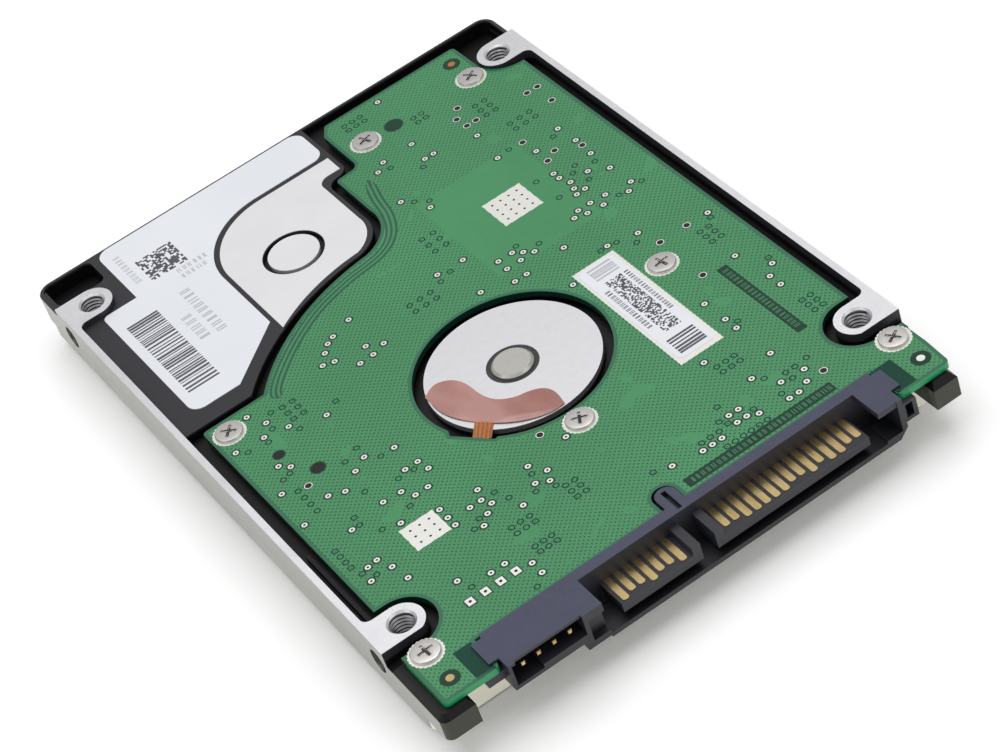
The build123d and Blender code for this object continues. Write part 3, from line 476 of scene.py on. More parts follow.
def makeBoardFinish(look):
    material, tree, shader = newMaterial("boardMask", look["mask"], 0.38, Coat_Weight=0.2, Coat_Roughness=0.25)
    place, (x, y, z) = objectParts(tree)

    def cell(value):
        part = mathNode(tree, "FRACT", mathNode(tree, "MULTIPLY", value, 1.0 / look["pitch"]))
        return mathNode(tree, "ABSOLUTE", mathNode(tree, "SUBTRACT", part, 0.5))

    far = mathNode(tree, "MAXIMUM", cell(mathNode(tree, "ADD", x, y)), cell(mathNode(tree, "SUBTRACT", x, y)))
    dots = mathNode(tree, "LESS_THAN", far, look["openingHalf"])
    # plain patches: one large one beside the controller, and small ones where tracks run below
    inside = mathNode(tree, "GREATER_THAN", x, look["plainLow"][0] * mm)
    for value, operation, limit in ((x, "LESS_THAN", look["plainHigh"][0]),
                                    (y, "GREATER_THAN", look["plainLow"][1]),
                                    (y, "LESS_THAN", look["plainHigh"][1])):
        inside = mathNode(tree, "MULTIPLY", inside, mathNode(tree, operation, value, limit * mm))
    patches = tree.nodes.new("ShaderNodeTexNoise")
    patches.inputs["Scale"].default_value = look["patchScale"]
    patches.inputs["Detail"].default_value = 1.0
    tree.links.new(place, patches.inputs["Vector"])
    pierced = mathNode(tree, "LESS_THAN", patches.outputs["Fac"], look["patchLimit"])
    dots = mathNode(tree, "MULTIPLY", mathNode(tree, "MULTIPLY", dots, pierced),
                    mathNode(tree, "SUBTRACT", 1.0, inside))
    grain = grainNode(tree, place, 2500.0, 70.0, 0.7)
    face = mixColour(tree, dots, grainColour(tree, grain, look["mask"], look["maskLight"]), look["opening"])
    onTop = mathNode(tree, "GREATER_THAN", z, boardTop - look["skin"])
    # painted shade: every edge of the board but the front one gets a dark colour; the front edge keeps a bright
    # green
    outside = mathNode(tree, "LESS_THAN", y, look["wallReach"])
    rim = mixColour(tree, outside, look["wall"], look["rim"])
    tree.links.new(mixColour(tree, onTop, rim, face), shader.inputs["Base Color"])
    tree.links.new(spread(tree, grain.outputs["Value"], 0.42, 0.32), shader.inputs["Roughness"])
    height = mathNode(tree, "SUBTRACT", mathNode(tree, "MULTIPLY", grain.outputs["Height"], 0.15), dots)
    bumpFrom(tree, shader, height, 0.35, fineBump)
    return material


# amber-rose polyimide film, glossy and mottled
filmSet = {"thin": (0.47, 0.245, 0.215), "thick": (0.33, 0.13, 0.105), "stretch": (1.0, 0.45, 1.0), "turn": 0.9,
           "bump": 0.0001}


def makeFilmFinish(look):
    material, tree, shader = newMaterial("filmRose", look["thin"], 0.2, Coat_Weight=0.5, Coat_Roughness=0.1)
    grain = grainNode(tree, objectPlace(tree, look["stretch"], (0.0, 0.0, look["turn"])), 1500.0, 170.0, 0.95)
    colour = mixColour(tree, spread(tree, grain.outputs["Value"], 0.0, 1.0, 0.35, 0.6), look["thick"],
                       look["thin"])
    tree.links.new(colour, shader.inputs["Base Color"])
    bumpFrom(tree, shader, grain.outputs["Value"], 0.15, look["bump"])
    return material


# dark slate plastic, with painted shade darkening it towards the bottom and a painted sheen on its top face
plasticSet = {"low": (0.007, 0.0075, 0.01), "high": (0.024, 0.025, 0.034), "top": (0.055, 0.058, 0.112),
              "topLevel": 9.3 * mm, "shadeFrom": 4.6 * mm, "shadeTo": 7.6 * mm}


def makePlasticFinish(look):
    material, tree, shader = newMaterial("slatePlastic", look["high"], 0.45)
    place, (x, y, z) = objectParts(tree)
    grain = grainNode(tree, place, 2600.0, 260.0, 0.5)
    # painted shade: darker towards the bottom
    shade = mixColour(tree, spread(tree, z, 0.0, 1.0, look["shadeFrom"], look["shadeTo"]), look["low"],
                      look["high"])
    # painted sheen: a paler colour on the top face
    paintedSheen = grainColour(tree, grain, look["top"], look["high"], 0.45)
    onTop = mathNode(tree, "GREATER_THAN", z, look["topLevel"])
    tree.links.new(mixColour(tree, onTop, shade, paintedSheen), shader.inputs["Base Color"])
    tree.links.new(spread(tree, grain.outputs["Value"], 0.5, 0.38), shader.inputs["Roughness"])
    bumpFrom(tree, shader, grain.outputs["Height"], 0.25, fineBump)
    return material


# grey sheet metal, with a cream primer on the end below the plug
coverSet = {"metal": (0.34, 0.34, 0.32), "bright": (0.5, 0.5, 0.47), "primer": (0.93, 0.9, 0.75),
            "primerReach": -44.4 * mm}


def makeCoverFinish(look):
    material, tree, shader = newMaterial("coverMetal", look["metal"], 0.42)
    place, (x, y, z) = objectParts(tree)
    grain = grainNode(tree, place, 4000.0, 120.0, 0.6)
    metal = grainColour(tree, grain, look["metal"], look["bright"])
    end = mathNode(tree, "LESS_THAN", y, look["primerReach"])
    tree.links.new(mixColour(tree, end, metal, look["primer"]), shader.inputs["Base Color"])
    tree.links.new(mathNode(tree, "SUBTRACT", 0.9, mathNode(tree, "MULTIPLY", end, 0.85)),
                   shader.inputs["Metallic"])
    tree.links.new(spread(tree, grain.outputs["Value"], 0.36, 0.5), shader.inputs["Roughness"])
    bumpFrom(tree, shader, grain.outputs["Height"], 0.15, fineBump)
    return material


castingPaint = makeCastingFinish(castingSet)
slatePlastic = makePlasticFinish(plasticSet)
coverMetal = makeCoverFinish(coverSet)
boardMask = makeBoardFinish(maskSet)
filmRose = makeFilmFinish(filmSet)

# finishes of the nodes that keep their CAD shape
nodeFinishes = {
    castingPaint: ["base_casting"],
    boardMask: ["circuit_board"],
    coverMetal: ["top_cover"],
    finish["rubber"]: ["cover_gasket", "crash_stops"],
    finish["steel"]: ["cover_screws", "clamp_screws", "head_suspensions", "lower_magnet_plate",
                      "upper_magnet_plate", "spindle_shaft", "pivot_sleeve", "latch_pin"],
    finish["labelPaper"]: ["cover_label", "base_label", "board_label"],
    finish["chipEpoxy"]: ["controller_chip", "motor_driver_chip", "memory_chip", "flash_chip", "preamp_chip"],
    finish["tinned"]: ["crystal"],
    finish["ceramicChip"]: ["small_parts"],
    finish["darkFilm"]: ["board_insulator"],
    slatePlastic: ["plug_housing", "head_connector"],
    finish["goldPlate"]: ["signal_contacts", "power_contacts", "jumper_pins"],
    finish["discMetal"]: ["motor_base"],
    finish["buttonMetal"]: ["motor_end_cap"],
    finish["brassSleeve"]: ["bearing_sleeve"],
    finish["lamination"]: ["stator_core"],
    finish["copperWire"]: ["stator_coils", "voice_coil"],
    finish["hubAluminium"]: ["spindle_hub", "platter_spacer", "disk_clamp", "actuator_arm"],
    finish["magnetNickel"]: ["rotor_magnet", "lower_magnet", "upper_magnet"],
    finish["platterMirror"]: ["lower_platter", "upper_platter"],
    finish["sliderCeramic"]: ["head_sliders"],
    finish["creamPolymer"]: ["coil_frame", "load_ramp", "latch_lever"],
    finish["foilSkin"]: ["pivot_foil", "pivot_post"],
    finish["felt"]: ["breather_filter", "recirculation_filter", "desiccant_pouch"],
    filmRose: ["head_flex"],
}
for material, names in nodeFinishes.items():
    for name in names:
        mesh = nodes[name].data
        if not mesh.materials:
            mesh.materials.append(material)
        for index in range(len(mesh.materials)):
            mesh.materials[index] = material
print("node finishes set")

# board screws with cross recess, on scalloped pads
screwSet = {
    "places": [(9.6, 39.55, 20), (25.9, 39.45, 35), (-29.8, 5.75, 50), (21.6, -10.45, 10), (0.1, -24.85, 62),
               (-31.2, -41.55, 5), (31.7, -41.55, 30)],
    "headRadius": 1.75 * mm, "headHeight": 0.42 * mm, "rimWidth": 0.16 * mm, "rimRise": 0.02 * mm,
    "rimBevel": 0.12 * mm, "shank": 0.77 * mm, "shankLength": 2.2 * mm, "shankBevel": 0.1 * mm,
    "crossLength": 2.0 * mm, "crossWidth": 0.4 * mm, "crossDepth": 0.32 * mm, "crossTaper": (0.45, 0.8, 1.0),
    "shadeLength": 0.4, "shadeWidth": 0.42, "shadeDepth": 0.8,  # parts of the cross
    "padHole": 1.2 * mm, "padRadius": 2.12 * mm, "padLobes": 12, "lobeDepth": 0.07, "padHeight": 0.03 * mm}


def makeScrewPattern(values):
    head = addDisc("screwHead", (0, 0, boardTop), values["headRadius"], values["headHeight"], sides=48)
    editFaces(head, lambda face: face.normal.z > 0.9)
    bpy.ops.mesh.inset(thickness=values["rimWidth"])
    bpy.ops.transform.translate(value=(0, 0, values["rimRise"]))
    objectMode()
    soften(head, values["rimBevel"], 3, angle=40)
    top = boardTop + values["headHeight"]
    reach, half = values["crossLength"] / 2, values["crossWidth"] / 2
    for turn in (0.0, math.pi / 2):
        cutter = addBox("crossCut", (-reach, -half, top - values["crossDepth"]), (reach, half, top + 0.3 * mm))
        editFaces(cutter, lambda face: face.normal.z < -0.9)
        bpy.ops.transform.resize(value=values["crossTaper"], center_override=(0, 0, top))
        objectMode()
        cutter.data.transform(Matrix.Rotation(turn, 4, "Z"))
        useModifier(head, "BOOLEAN", operation="DIFFERENCE", object=cutter, solver="EXACT")
        bpy.data.objects.remove(cutter)
    shank = addDisc("screwShank", (0, 0, boardTop - values["shankLength"]), values["shank"],
                    values["shankLength"], sides=16, bevel=values["shankBevel"])
    return joinAll([head, shank], "screwPattern")


# painted shade at the bottom of the recess
def makeCrossShade(values):
    level = boardTop + values["headHeight"] - values["crossDepth"] * values["shadeDepth"]
    reach, half = values["crossLength"] * values["shadeLength"], values["crossWidth"] * values["shadeWidth"]
    low = level - 0.02 * mm
    arms = [addBox("crossArm", (-reach, -half, low), (reach, half, level)),
            addBox("crossArm", (-half, -reach, low), (half, reach, level + 0.004 * mm))]
    return joinAll(arms, "crossShade")


# tinned ring with a scalloped edge, open in the middle for the screw
def makeScrewPad(values):
    pad = addRing("screwPad", (0, 0, boardTop), values["padHole"], values["padRadius"], values["padHeight"],
                  sides=144)
    for vertex in pad.data.vertices:
        if math.hypot(vertex.co.x, vertex.co.y) > (values["padHole"] + values["padRadius"]) / 2:
            lobe = abs(math.sin(values["padLobes"] * math.atan2(vertex.co.y, vertex.co.x)))
            swell = 1.0 - values["lobeDepth"] * (1.0 - lobe) ** 2
            vertex.co.x *= swell
            vertex.co.y *= swell
    return pad


spots = [(x * mm, y * mm, 0.0, math.radians(turn)) for x, y, turn in screwSet["places"]]
screws = scatter(makeScrewPattern(screwSet), spots, "boardScrewHeads")
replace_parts(finishPiece(screws, finish["screwNickel"], smooth=35), "board_screws")
finishPiece(scatter(makeScrewPad(screwSet), spots, "screwPads"), finish["tinned"])
finishPiece(scatter(makeCrossShade(screwSet), spots, "crossShades"), finish["crossBrown"])
print("screws made")

# a dark ring of painted shade in the groove round the motor's end cap
grooveSet = {"depth": 0.3 * mm, "inner": 2.56 * mm, "outer": 3.22 * mm, "height": 0.12 * mm}
grooveShade = addRing("motorGrooveShade", (motorCentre.x, motorCentre.y, discTop - grooveSet["depth"]),
                 grooveSet["inner"], grooveSet["outer"], grooveSet["height"], sides=64)
finishPiece(grooveShade, finish["darkFilm"])

# thread ridges in the four bottom screw holes
threadSet = {"pitch": 0.5 * mm, "ridge": 0.24 * mm, "steps": 32, "lowEnd": 0.1 * mm, "spare": 0.5 * mm}


# a small square set on its corner is carried up the hole by a screw modifier
def makeThread(values):
    low = datumTop - screwHoles["depth"] + values["lowEnd"]
    bpy.ops.mesh.primitive_plane_add(size=values["ridge"], location=(screwHoles["radius"], 0, low),
                                     rotation=(math.pi / 2, math.pi / 4, 0))
    ridge = settle(nameIt(bpy.context.object, "threadRidge"))
    turns = int((screwHoles["depth"] - values["spare"]) / values["pitch"])
    useModifier(ridge, "SCREW", steps=values["steps"], render_steps=values["steps"], iterations=turns,
                screw_offset=values["pitch"], angle=2 * math.pi)
    return ridge


holeSpots = [(side * screwHoles["across"], screwHoles["middle"] + end * screwHoles["along"], 0.0)
             for side in (-1, 1) for end in (-1, 1)]
finishPiece(scatter(makeThread(threadSet), holeSpots, "bottomThreads"), finish["threadMetal"], smooth=60)
print("threads made")

viaSet = {
    "ringInner": 0.15 * mm, "ringOuter": 0.37 * mm, "ringHeight": 0.02 * mm, "haloOuter": 0.58 * mm,
    "haloHeight": 0.006 * mm, "holeSwell": 1.2, "openHole": 1.15, "openInner": 1.1, "openOuter": 1.4,
    "tentInner": 0.27 * mm, "tentOuter": 0.43 * mm,
    "places": [
        (15, 45.5), (13.4, 34.2), (9, 34.1), (7.5, 32.9), (13, 30.2), (14.3, 30.2), (20, 28.6), (6.4, 25.4),
        (19.3, 22.6), (8.4, 21.4), (27.6, 21.2), (23.3, 19.7), (27.8, 17.4), (22.3, 14.2), (27.6, 13.7),
        (22.3, 12.9), (-9.6, 11.6), (22.8, 11.1), (25.4, 11.1), (-12.5, 10.5), (-13.6, 9.9), (2.2, 9.8),
        (22.4, 9.7), (5.8, 9.6), (27.6, 9.4), (-14.7, 8.7), (23.3, 8.6), (22, 8.5), (-16, 7), (-27, 6.5),
        (-14.6, 6.5), (-10.6, 5.8), (8.6, 5.8), (10.6, 5.8), (20.4, 5.8), (22.2, 5.8), (24.3, 5.6),
        (27.8, 5.1), (19.3, 5), (11.6, 4.8), (-8.8, 4.5), (20.9, 4.5), (23.1, 4.2), (-25.8, 3.8),
        (-10.7, 3.8), (8.6, 3.8), (10.6, 3.8), (12.6, 3.8), (26.6, 3.8), (-12.6, 3.7), (4.1, 2.8),
        (-30.9, 2.2), (-27.2, 1.8), (15.4, 1.5), (-24.2, 1.1), (8, 1.1), (9.7, 1.1), (-20, -0.8),
        (19.1, -2.5), (22.9, -3.5), (-28.4, -3.8), (-27.4, -5), (12.4, -5), (30.6, -7.2), (-30.4, -8.1),
        (-20.5, -10.4), (-22.4, -11.6), (-17.2, -11.8), (-26.7, -12.6), (-24.9, -13.5), (-31, -14.5),
        (-18.2, -15.9), (-16.5, -15.9), (28.2, -16.1), (-16.2, -17.8), (-22.7, -18.4), (-20.4, -18.6),
        (-27.5, -19.4), (20.9, -20.1), (-19.5, -20.3), (-17.8, -20.3), (30.3, -20.6), (28.8, -22.2),
        (-23, -22.8), (21, -24.1), (28.8, -24.3), (-18.8, -24.4), (-14.1, -25.1), (-27.9, -25.6),
        (-29.2, -25.8), (-2.5, -25.8), (-18.8, -26.2), (21, -26.3), (-8.1, -26.4), (-16.2, -26.8),
        (-14.7, -26.8), (-27.2, -27.8), (-18.8, -27.8), (-30, -27.9), (-14.1, -28.1), (15.1, -28.1),
        (-6.9, -28.6), (-15.3, -29.1), (-9, -29.3), (-7.6, -30.2), (-16.6, -30.4), (-26.8, -30.6),
        (-11.8, -31.1), (21.1, -32.7), (17.2, -34.4), (-23.2, -35.2), (-19.9, -37), (-18.1, -37),
        (12, -37.2), (13.3, -37.2), (19.1, -37.4), (22.1, -37.7), (3.1, -38.8), (12, -38.8), (13.3, -38.8),
        (-15.9, -39.2), (6.8, -39.5), (8.1, -39.5), (9.4, -39.5), (14.5, -39.5), (21.1, -39.5),
        (18.2, -40.2), (19.5, -40.2), (-15.9, -41.2)],
    "openHoles": [
        (23.1, 22.6), (24.9, 17.9), (23.2, 16.9), (21.3, 35.5), (20, 33.6), (21.6, 31.4), (20.2, 31.4),
        (30.6, 30.6), (29, 30.6), (30.3, 26.7), (27.8, 15.9), (-27.5, -9.35), (-4.4, -23.25), (23.7, -7.05),
        (27.6, -7.05), (23.7, -15.85), (23.4, -39.55)],
    "plainHoles": [(-27.4, -2.15, 0.65), (-25.2, -7.65, 0.8), (13.9, 39.55, 1.0)],
    "tentRows": [  # middle, columns, rows, pitch
        ((-13.2, -37.9), 3, 2, 1.1), ((8.6, -38.4), 3, 1, 1.2), ((21.0, -37.2), 2, 2, 1.3),
        ((-22.4, 3.2), 2, 3, 1.4), ((-28.8, -11.4), 1, 4, 1.5), ((16.9, -30.4), 3, 2, 1.2),
        ((25.6, 26.4), 3, 2, 1.5), ((5.2, 15.4), 2, 3, 1.6), ((28.6, -10.6), 2, 3, 1.3),
        ((-13.4, -33.6), 3, 2, 1.2), ((-30.6, -22.6), 1, 4, 1.2), ((-4.0, 14.2), 5, 1, 1.5),
        ((23.8, 32.6), 2, 3, 1.4), ((10.6, 44.2), 3, 2, 1.2), ((17.0, 38.0), 2, 2, 1.2),
        ((-6.2, -33.4), 2, 3, 1.2), ((11.8, -41.0), 6, 1, 1.1), ((-28.6, -34.0), 2, 3, 1.3),
        ((29.4, -30.2), 2, 4, 1.2), ((-1.6, 7.0), 3, 2, 1.5)],
    "tentCount": 210, "tentGap": 1.0, "tentReach": 2.4}


# where no covered ring goes, in millimetres
farAway = 99.0  # past the board on any side
clearSet = {
    "boxes": [  # low and high x, low and high y: the board's margins, then the pads, label and corners
        (-farAway, -31.3, -farAway, farAway), (31.6, farAway, -farAway, farAway),
        (-farAway, farAway, -farAway, -43.0), (-farAway, farAway, 46.0, farAway),
        (12.6, 19.6, -27.2, -3.0), (12.4, 18.8, 10.2, 16.6), (-24.5, -18.8, -28.6, -23.2),
        (-farAway, 4.0, 20.0, farAway), (-farAway, 7.4, 36.2, farAway)],
    "motor": (0.0, -10.6, 13.2), "bay": (-9.5, 28.0, 21.0), "bayLow": 7.4, "bayHigh": 3.8,
    "screwReach": 3.0, "holeReach": 4.6}


# whether a small ring at this place stays on plain board
def clearOfParts(x, y):
    def within(disc):
        return math.hypot(x - disc[0], y - disc[1]) <= disc[2]

    discs = [clearSet["motor"]]
    discs += [(sx, sy, clearSet["screwReach"]) for sx, sy, turn in screwSet["places"]]
    discs += [(hx / mm, hy / mm, clearSet["holeReach"]) for hx, hy, turn in holeSpots]
    inBay = y > clearSet["bayLow"] and x < clearSet["bayHigh"] and within(clearSet["bay"])
    inBox = any(x0 < x < x1 and y0 < y < y1 for x0, x1, y0, y1 in clearSet["boxes"])
    return not (inBay or inBox or any(within(disc) for disc in discs))


# tinned rings, each with a disc of painted shade for its hole and a ring of painted shadow round it, and wider
# open holes
def makeVias(values):
    inner, outer, thin = values["ringInner"], values["ringOuter"], values["haloHeight"]
    rings = [onLevel(x, y, boardTop) for x, y in values["places"]]
    openSpots = [onLevel(x, y, boardTop) for x, y in values["openHoles"]]
    # painted shadow: a dark ring round each tinned ring and open hole
    halo = addDisc("viaHalo", (0, 0, 0), values["haloOuter"], thin, sides=24)
    finishPiece(scatter(halo, rings + openSpots, "viaShadowRings"), finish["maskDark"])
    hole = addDisc("viaHole", (0, 0, 0), inner * values["holeSwell"], thin * 2, sides=16)
    finishPiece(scatter(hole, rings, "viaHoles"), finish["holeShade"])
    ring = addRing("viaRing", (0, 0, 0), inner, outer, values["ringHeight"], sides=20)
    finishPiece(scatter(ring, rings, "viaRings"), finish["tinned"])
    wide = addDisc("openHole", (0, 0, 0), outer * values["openHole"], thin * 2, sides=20)
    finishPiece(scatter(wide, openSpots, "openHoles"), finish["holeShade"])
    rim = addRing("openRim", (0, 0, 0), outer * values["openInner"], outer * values["openOuter"],
                  values["ringHeight"], sides=24)
    finishPiece(scatter(rim, openSpots, "openRims"), finish["tinned"])
    # larger plain holes, the last of them covered; the first two get a disc of painted shade for the hole
    plain = values["plainHoles"]
    for name, spots, swell, height, kind in (("plainHoleRims", plain, 1.25, thin, "maskDark"),
                                             ("plainHoles", plain[:2], 1.0, thin * 2, "holeShade")):
        dark = [addDisc("plainHole", onLevel(x, y, boardTop), radius * swell * mm, height)
                for x, y, radius in spots]
        finishPiece(joinAll(dark, name), finish[kind])


# small rings covered by the mask: set rows first, then strays near the tinned ones
def makeTents(values):
    chance = random.Random(11)
    tents = []
    for (x0, y0), columns, rows, pitch in values["tentRows"]:
        for column in range(columns):
            for row in range(rows):
                tents.append((x0 + (column - (columns - 1) / 2) * pitch, y0 + (row - (rows - 1) / 2) * pitch))
    while len(tents) < values["tentCount"]:
        x0, y0 = chance.choice(values["places"])
        turn = chance.uniform(0, 2 * math.pi)
        reach = chance.uniform(values["tentGap"], values["tentReach"])
        tents.append((x0 + reach * math.cos(turn), y0 + reach * math.sin(turn)))
    kept = []
    for x, y in tents:
        others = kept + values["places"]
        if clearOfParts(x, y) and all(math.hypot(x - a, y - b) > values["tentGap"] for a, b in others):
            kept.append((x, y))
    tent = addRing("tentRing", (0, 0, 0), values["tentInner"], values["tentOuter"], values["haloHeight"],
                   sides=20)
    finishPiece(scatter(tent, [onLevel(x, y, boardTop) for x, y in kept], "tentRings"), finish["maskTeal"])


makeVias(viaSet)
makeTents(viaSet)
print("vias made")

# pads, windows, marks and tracks on the board
padSet = {
    "thermal": [  # low corner, high corner, dots across, dots along
        ((12.8, 10.55), (18.4, 16.25), 4, 4), ((-23.9, -28.05), (-19.4, -23.75), 3, 3)],
    "labelPad": ((13.1, -26.45), (19.1, -3.65)), "padHeight": 0.03 * mm, "lobe": 0.36,
    "dent": 0.07 * mm, "padDot": 0.16 * mm, "dotRise": 1.3, "filmHeight": 0.005 * mm,
    "squareHalo": 0.13 * mm, "haloHeight": 0.006 * mm, "squareDot": 0.2 * mm, "markDot": 0.5 * mm,
    "markRing": 1.18 * mm, "markHeight": 0.007 * mm,
    "square": [(-23.8 + 2.0 * n, -38.85) for n in range(4)], "squareHalf": (0.48, 0.56),
    "fiducials": {"copperSkin": [(25.8, 44.15)], "goldPlate": [(-31.2, -46.45)], "tinned": [(31.8, -46.25)]},
    "windows": [((-29.2, -48.95), (-26.9, -43.75)), ((26.7, -48.7), (29.4, -43.75))],
    "bars": [((25.2, -32.45), (26.6, -16.45)), ((2.6, -43.05), (22.7, -41.45))]}


# a flat pad whose four sides are scalloped
def makeLobedPad(name, low, high, height, lobe):
    width, length = high[0] - low[0], high[1] - low[1]
    across, along = round(width / lobe / 4) * 4, round(length / lobe / 4) * 4
    place = ((low[0] + high[0]) / 2 * mm, (low[1] + high[1]) / 2 * mm, boardTop + height)
    pad = addGrid(name, place, width, length, across, along)
    for vertex in pad.data.vertices:
        u = (vertex.co.x / mm - low[0]) / width
        v = (vertex.co.y / mm - low[1]) / length
        for value, other, steps, axis in ((u, v, along, 0), (v, u, across, 1)):
            onEdge = value < 0.001 or value > 0.999
            if onEdge and round(other * steps) % 4 == 2:
                vertex.co[axis] += padSet["dent"] if value < 0.5 else -padSet["dent"]
    editFaces(pad, lambda face: True)
    giveHeight(-height)
    return pad


def makePads(values):
    height, film = values["padHeight"], values["filmHeight"]
    dots = []
    for low, high, across, along in values["thermal"]:
        finishPiece(makeLobedPad("thermalPad", low, high, height, values["lobe"]), finish["tinned"])
        for column in range(across):
            for row in range(along):
                x = low[0] + (high[0] - low[0]) * (column + 0.8) / (across + 0.6)
                y = low[1] + (high[1] - low[1]) * (row + 0.8) / (along + 0.6)
                dots.append(onLevel(x, y, boardTop))
    dot = addDisc("padDot", (0, 0, 0), values["padDot"], height * values["dotRise"], sides=14)
    finishPiece(scatter(dot, dots, "padDots"), finish["maskDark"])
    low, high = values["labelPad"]
    finishPiece(makeLobedPad("labelPad", low, high, height, values["lobe"] / 2), finish["tinned"])
    # square pads, each pierced in the middle
    halfX, halfY = (value * mm for value in values["squareHalf"])
    squares = [onLevel(x, y, boardTop) for x, y in values["square"]]
    for name, grow, rise, kind in (("squareHalos", values["squareHalo"], values["haloHeight"], "maskDark"),
                                   ("squarePads", 0.0, height, "tinned")):
        square = addBox("square", (-halfX - grow, -halfY - grow, 0), (halfX + grow, halfY + grow, rise))
        finishPiece(scatter(square, squares, name), finish[kind])
    # the dark dot in each pad is painted shade for its hole
    dot = addDisc("squareDot", (0, 0, 0), values["squareDot"], height * values["dotRise"], sides=16)
    finishPiece(scatter(dot, squares, "squareDots"), finish["holeShade"])
    # aiming marks: a bare dot in a dark ring
    rings = []
    for kind, places in values["fiducials"].items():
        marks = [onLevel(x, y, boardTop) for x, y in places]
        rings += marks
        dot = addDisc("markDot", (0, 0, 0), values["markDot"], height, sides=28)
        finishPiece(scatter(dot, marks, "markDot"), finish[kind])
    ring = addDisc("markRing", (0, 0, 0), values["markRing"], values["markHeight"], sides=40)
    finishPiece(scatter(ring, rings, "markRings"), finish["maskDark"])
    for key, part, name, kind in (("windows", "window", "maskWindows", "maskTeal"),
                                  ("bars", "bar", "maskBars", "maskDark")):
        boxes = [addBox(part, onLevel(*low, boardTop), onLevel(*high, boardTop + film))
                 for low, high in values[key]]
        finishPiece(joinAll(boxes, name), finish[kind])


makePads(padSet)

marginSet = {"width": 0.45 * mm, "lift": 0.005 * mm, "skin": 0.02 * mm}


# the copper stops short of every edge of the board, which leaves a darker strip
def makeMargin(values):
    strip = copyAt(nodes["circuit_board"], Vector((0, 0, values["lift"])))
    nameIt(strip, "boardMargin")
    editFaces(strip, lambda face: face.normal.z < 0.9 or face.center.z < boardTop - values["skin"])
    bpy.ops.mesh.delete(type="FACE")
    bpy.ops.mesh.select_all(action="SELECT")
    bpy.ops.mesh.remove_doubles(threshold=0.00001)
    bpy.ops.mesh.inset(thickness=values["width"], use_boundary=True)
    bpy.ops.mesh.delete(type="FACE")
    objectMode()
    for vertex in strip.data.vertices:
        vertex.co.z = boardTop + values["lift"]
    return finishPiece(strip, finish["maskEdge"])


makeMargin(marginSet)

trackSet = {"steps": 64, "points": [
    (5.8, 32.6), (4.7, 28.6), (3.9, 24.4), (2.2, 20.9), (-0.8, 18.8), (-6.2, 17.9), (-11.5, 16.2),
    (-16.3, 13.3), (-20.0, 10.2), (-22.1, 7.9), (-22.7, 6.4)],
    "bed": (1.55, 0.008 * mm), "strip": (0.34, 0.03 * mm), "strips": [-0.31, 0.31], "taper": 12, "tip": 0.35}


# a smooth curve through all the points, at a share of its way
def curvePoint(points, share):
    reach = share * (len(points) - 1)
    index = min(int(reach), len(points) - 2)
    before, start = points[max(index - 1, 0)], points[index]
    end, after = points[index + 1], points[min(index + 2, len(points) - 1)]
    part = reach - index
    return Vector([0.5 * (2 * q + (r - p) * part + (2 * p - 5 * q + 4 * r - t) * part ** 2
                          + (3 * q - p - 3 * r + t) * part ** 3)
                   for p, q, r, t in zip(before, start, end, after)])


# a long grid is laid along the curved edge and given its height
def makeRibbon(values, offset, width, height, name):
    ribbon = addGrid(name, (0, 0, 0), 1.0, 1.0, values["steps"], 1)
    points, nudge = values["points"], 0.002
    for vertex in ribbon.data.vertices:
        share = vertex.co.x / mm + 0.5
        side = width / 2 if vertex.co.y > 0 else -width / 2
        taper = min(1.0, values["taper"] * min(share, 1 - share) + values["tip"])
        ahead = curvePoint(points, share + nudge) - curvePoint(points, share - nudge)
        place = curvePoint(points, share)
        place += Vector((-ahead.y, ahead.x)).normalized() * (offset + side * taper)
        vertex.co = onLevel(*place, boardTop)
    editFaces(ribbon, lambda face: True)
    giveHeight(height)
    return ribbon


finishPiece(makeRibbon(trackSet, 0.0, *trackSet["bed"], "trackBed"), finish["maskDarkEdge"])
strips = [makeRibbon(trackSet, shift, *trackSet["strip"], "track") for shift in trackSet["strips"]]
finishPiece(joinAll(strips, "edgeTracks"), finish["maskTrack"])
print("pads, margin and tracks made")

# plain bars, cells and strokes printed on the labels and the board; they spell nothing
printSet = {
    "height": 0.012 * mm,
    "bars": (-29.8, -25.4, 16.4, 33.5),  # low and high x, low and high y
    "labelBars": [(14.2, 17.9, -24.9, -21.6), (14.6, 17.9, -7.0, -4.6)],
    "code": (-20.5, 41.3, 5.2, 5.2, 18, 18),  # middle, width, length, cells across and along
    "labelCode": (16.2, -14.2, 2.3, 12.6, 12, 66), "cellChance": 0.45, "strokeWidth": 0.16,
    "baseRows": [  # x, y, length, height, and whether the row runs down y
        (-21.9, 33.8, 10.0, 1.4, True), (-24.1, 29.2, 5.8, 1.4, True), (-24.9, 46.9, 6.6, 0.9, True),
        (-20.0, 37.3, 4.2, 0.9, False), (-20.0, 35.9, 3.2, 0.9, False)],
    "labelRows": [(14.0, -9.4, 9.0, 0.7, True), (17.7, -8.0, 9.6, 0.6, True)],
    "boardRows": [(25.5, -17.2, 14.0, 0.8, True), (3.4, -42.65, 18.6, 0.8, False)], "boardLift": 0.004 * mm}


# bars of uneven width and spacing, stacked along y
def makeBars(name, x0, x1, y0, y1, level, chance, narrow, wide):
    bars = []
    y, top = y0, level + printSet["height"]
    while y < y1:
        thick = chance.uniform(narrow, wide)
        bars.append(addBox("printBar", onLevel(x0, y, level), onLevel(x1, y + thick, top)))
        y += thick + chance.uniform(narrow, wide)
    return joinAll(bars, name)


# a grid of cells with a random half of them kept
def makeCode(values, level, chance):
    x, y, width, length, across, along = values
    grid = addGrid("printGrid", onLevel(x, y, level + printSet["height"]), width, length, across, along)
    editFaces(grid, lambda face: chance.random() < printSet["cellChance"])
    bpy.ops.mesh.delete(type="FACE")
    bpy.ops.mesh.select_all(action="SELECT")
    bpy.ops.mesh.extrude_region_move(TRANSFORM_OT_translate={"value": (0, 0, -printSet["height"])})
    objectMode()
    return grid


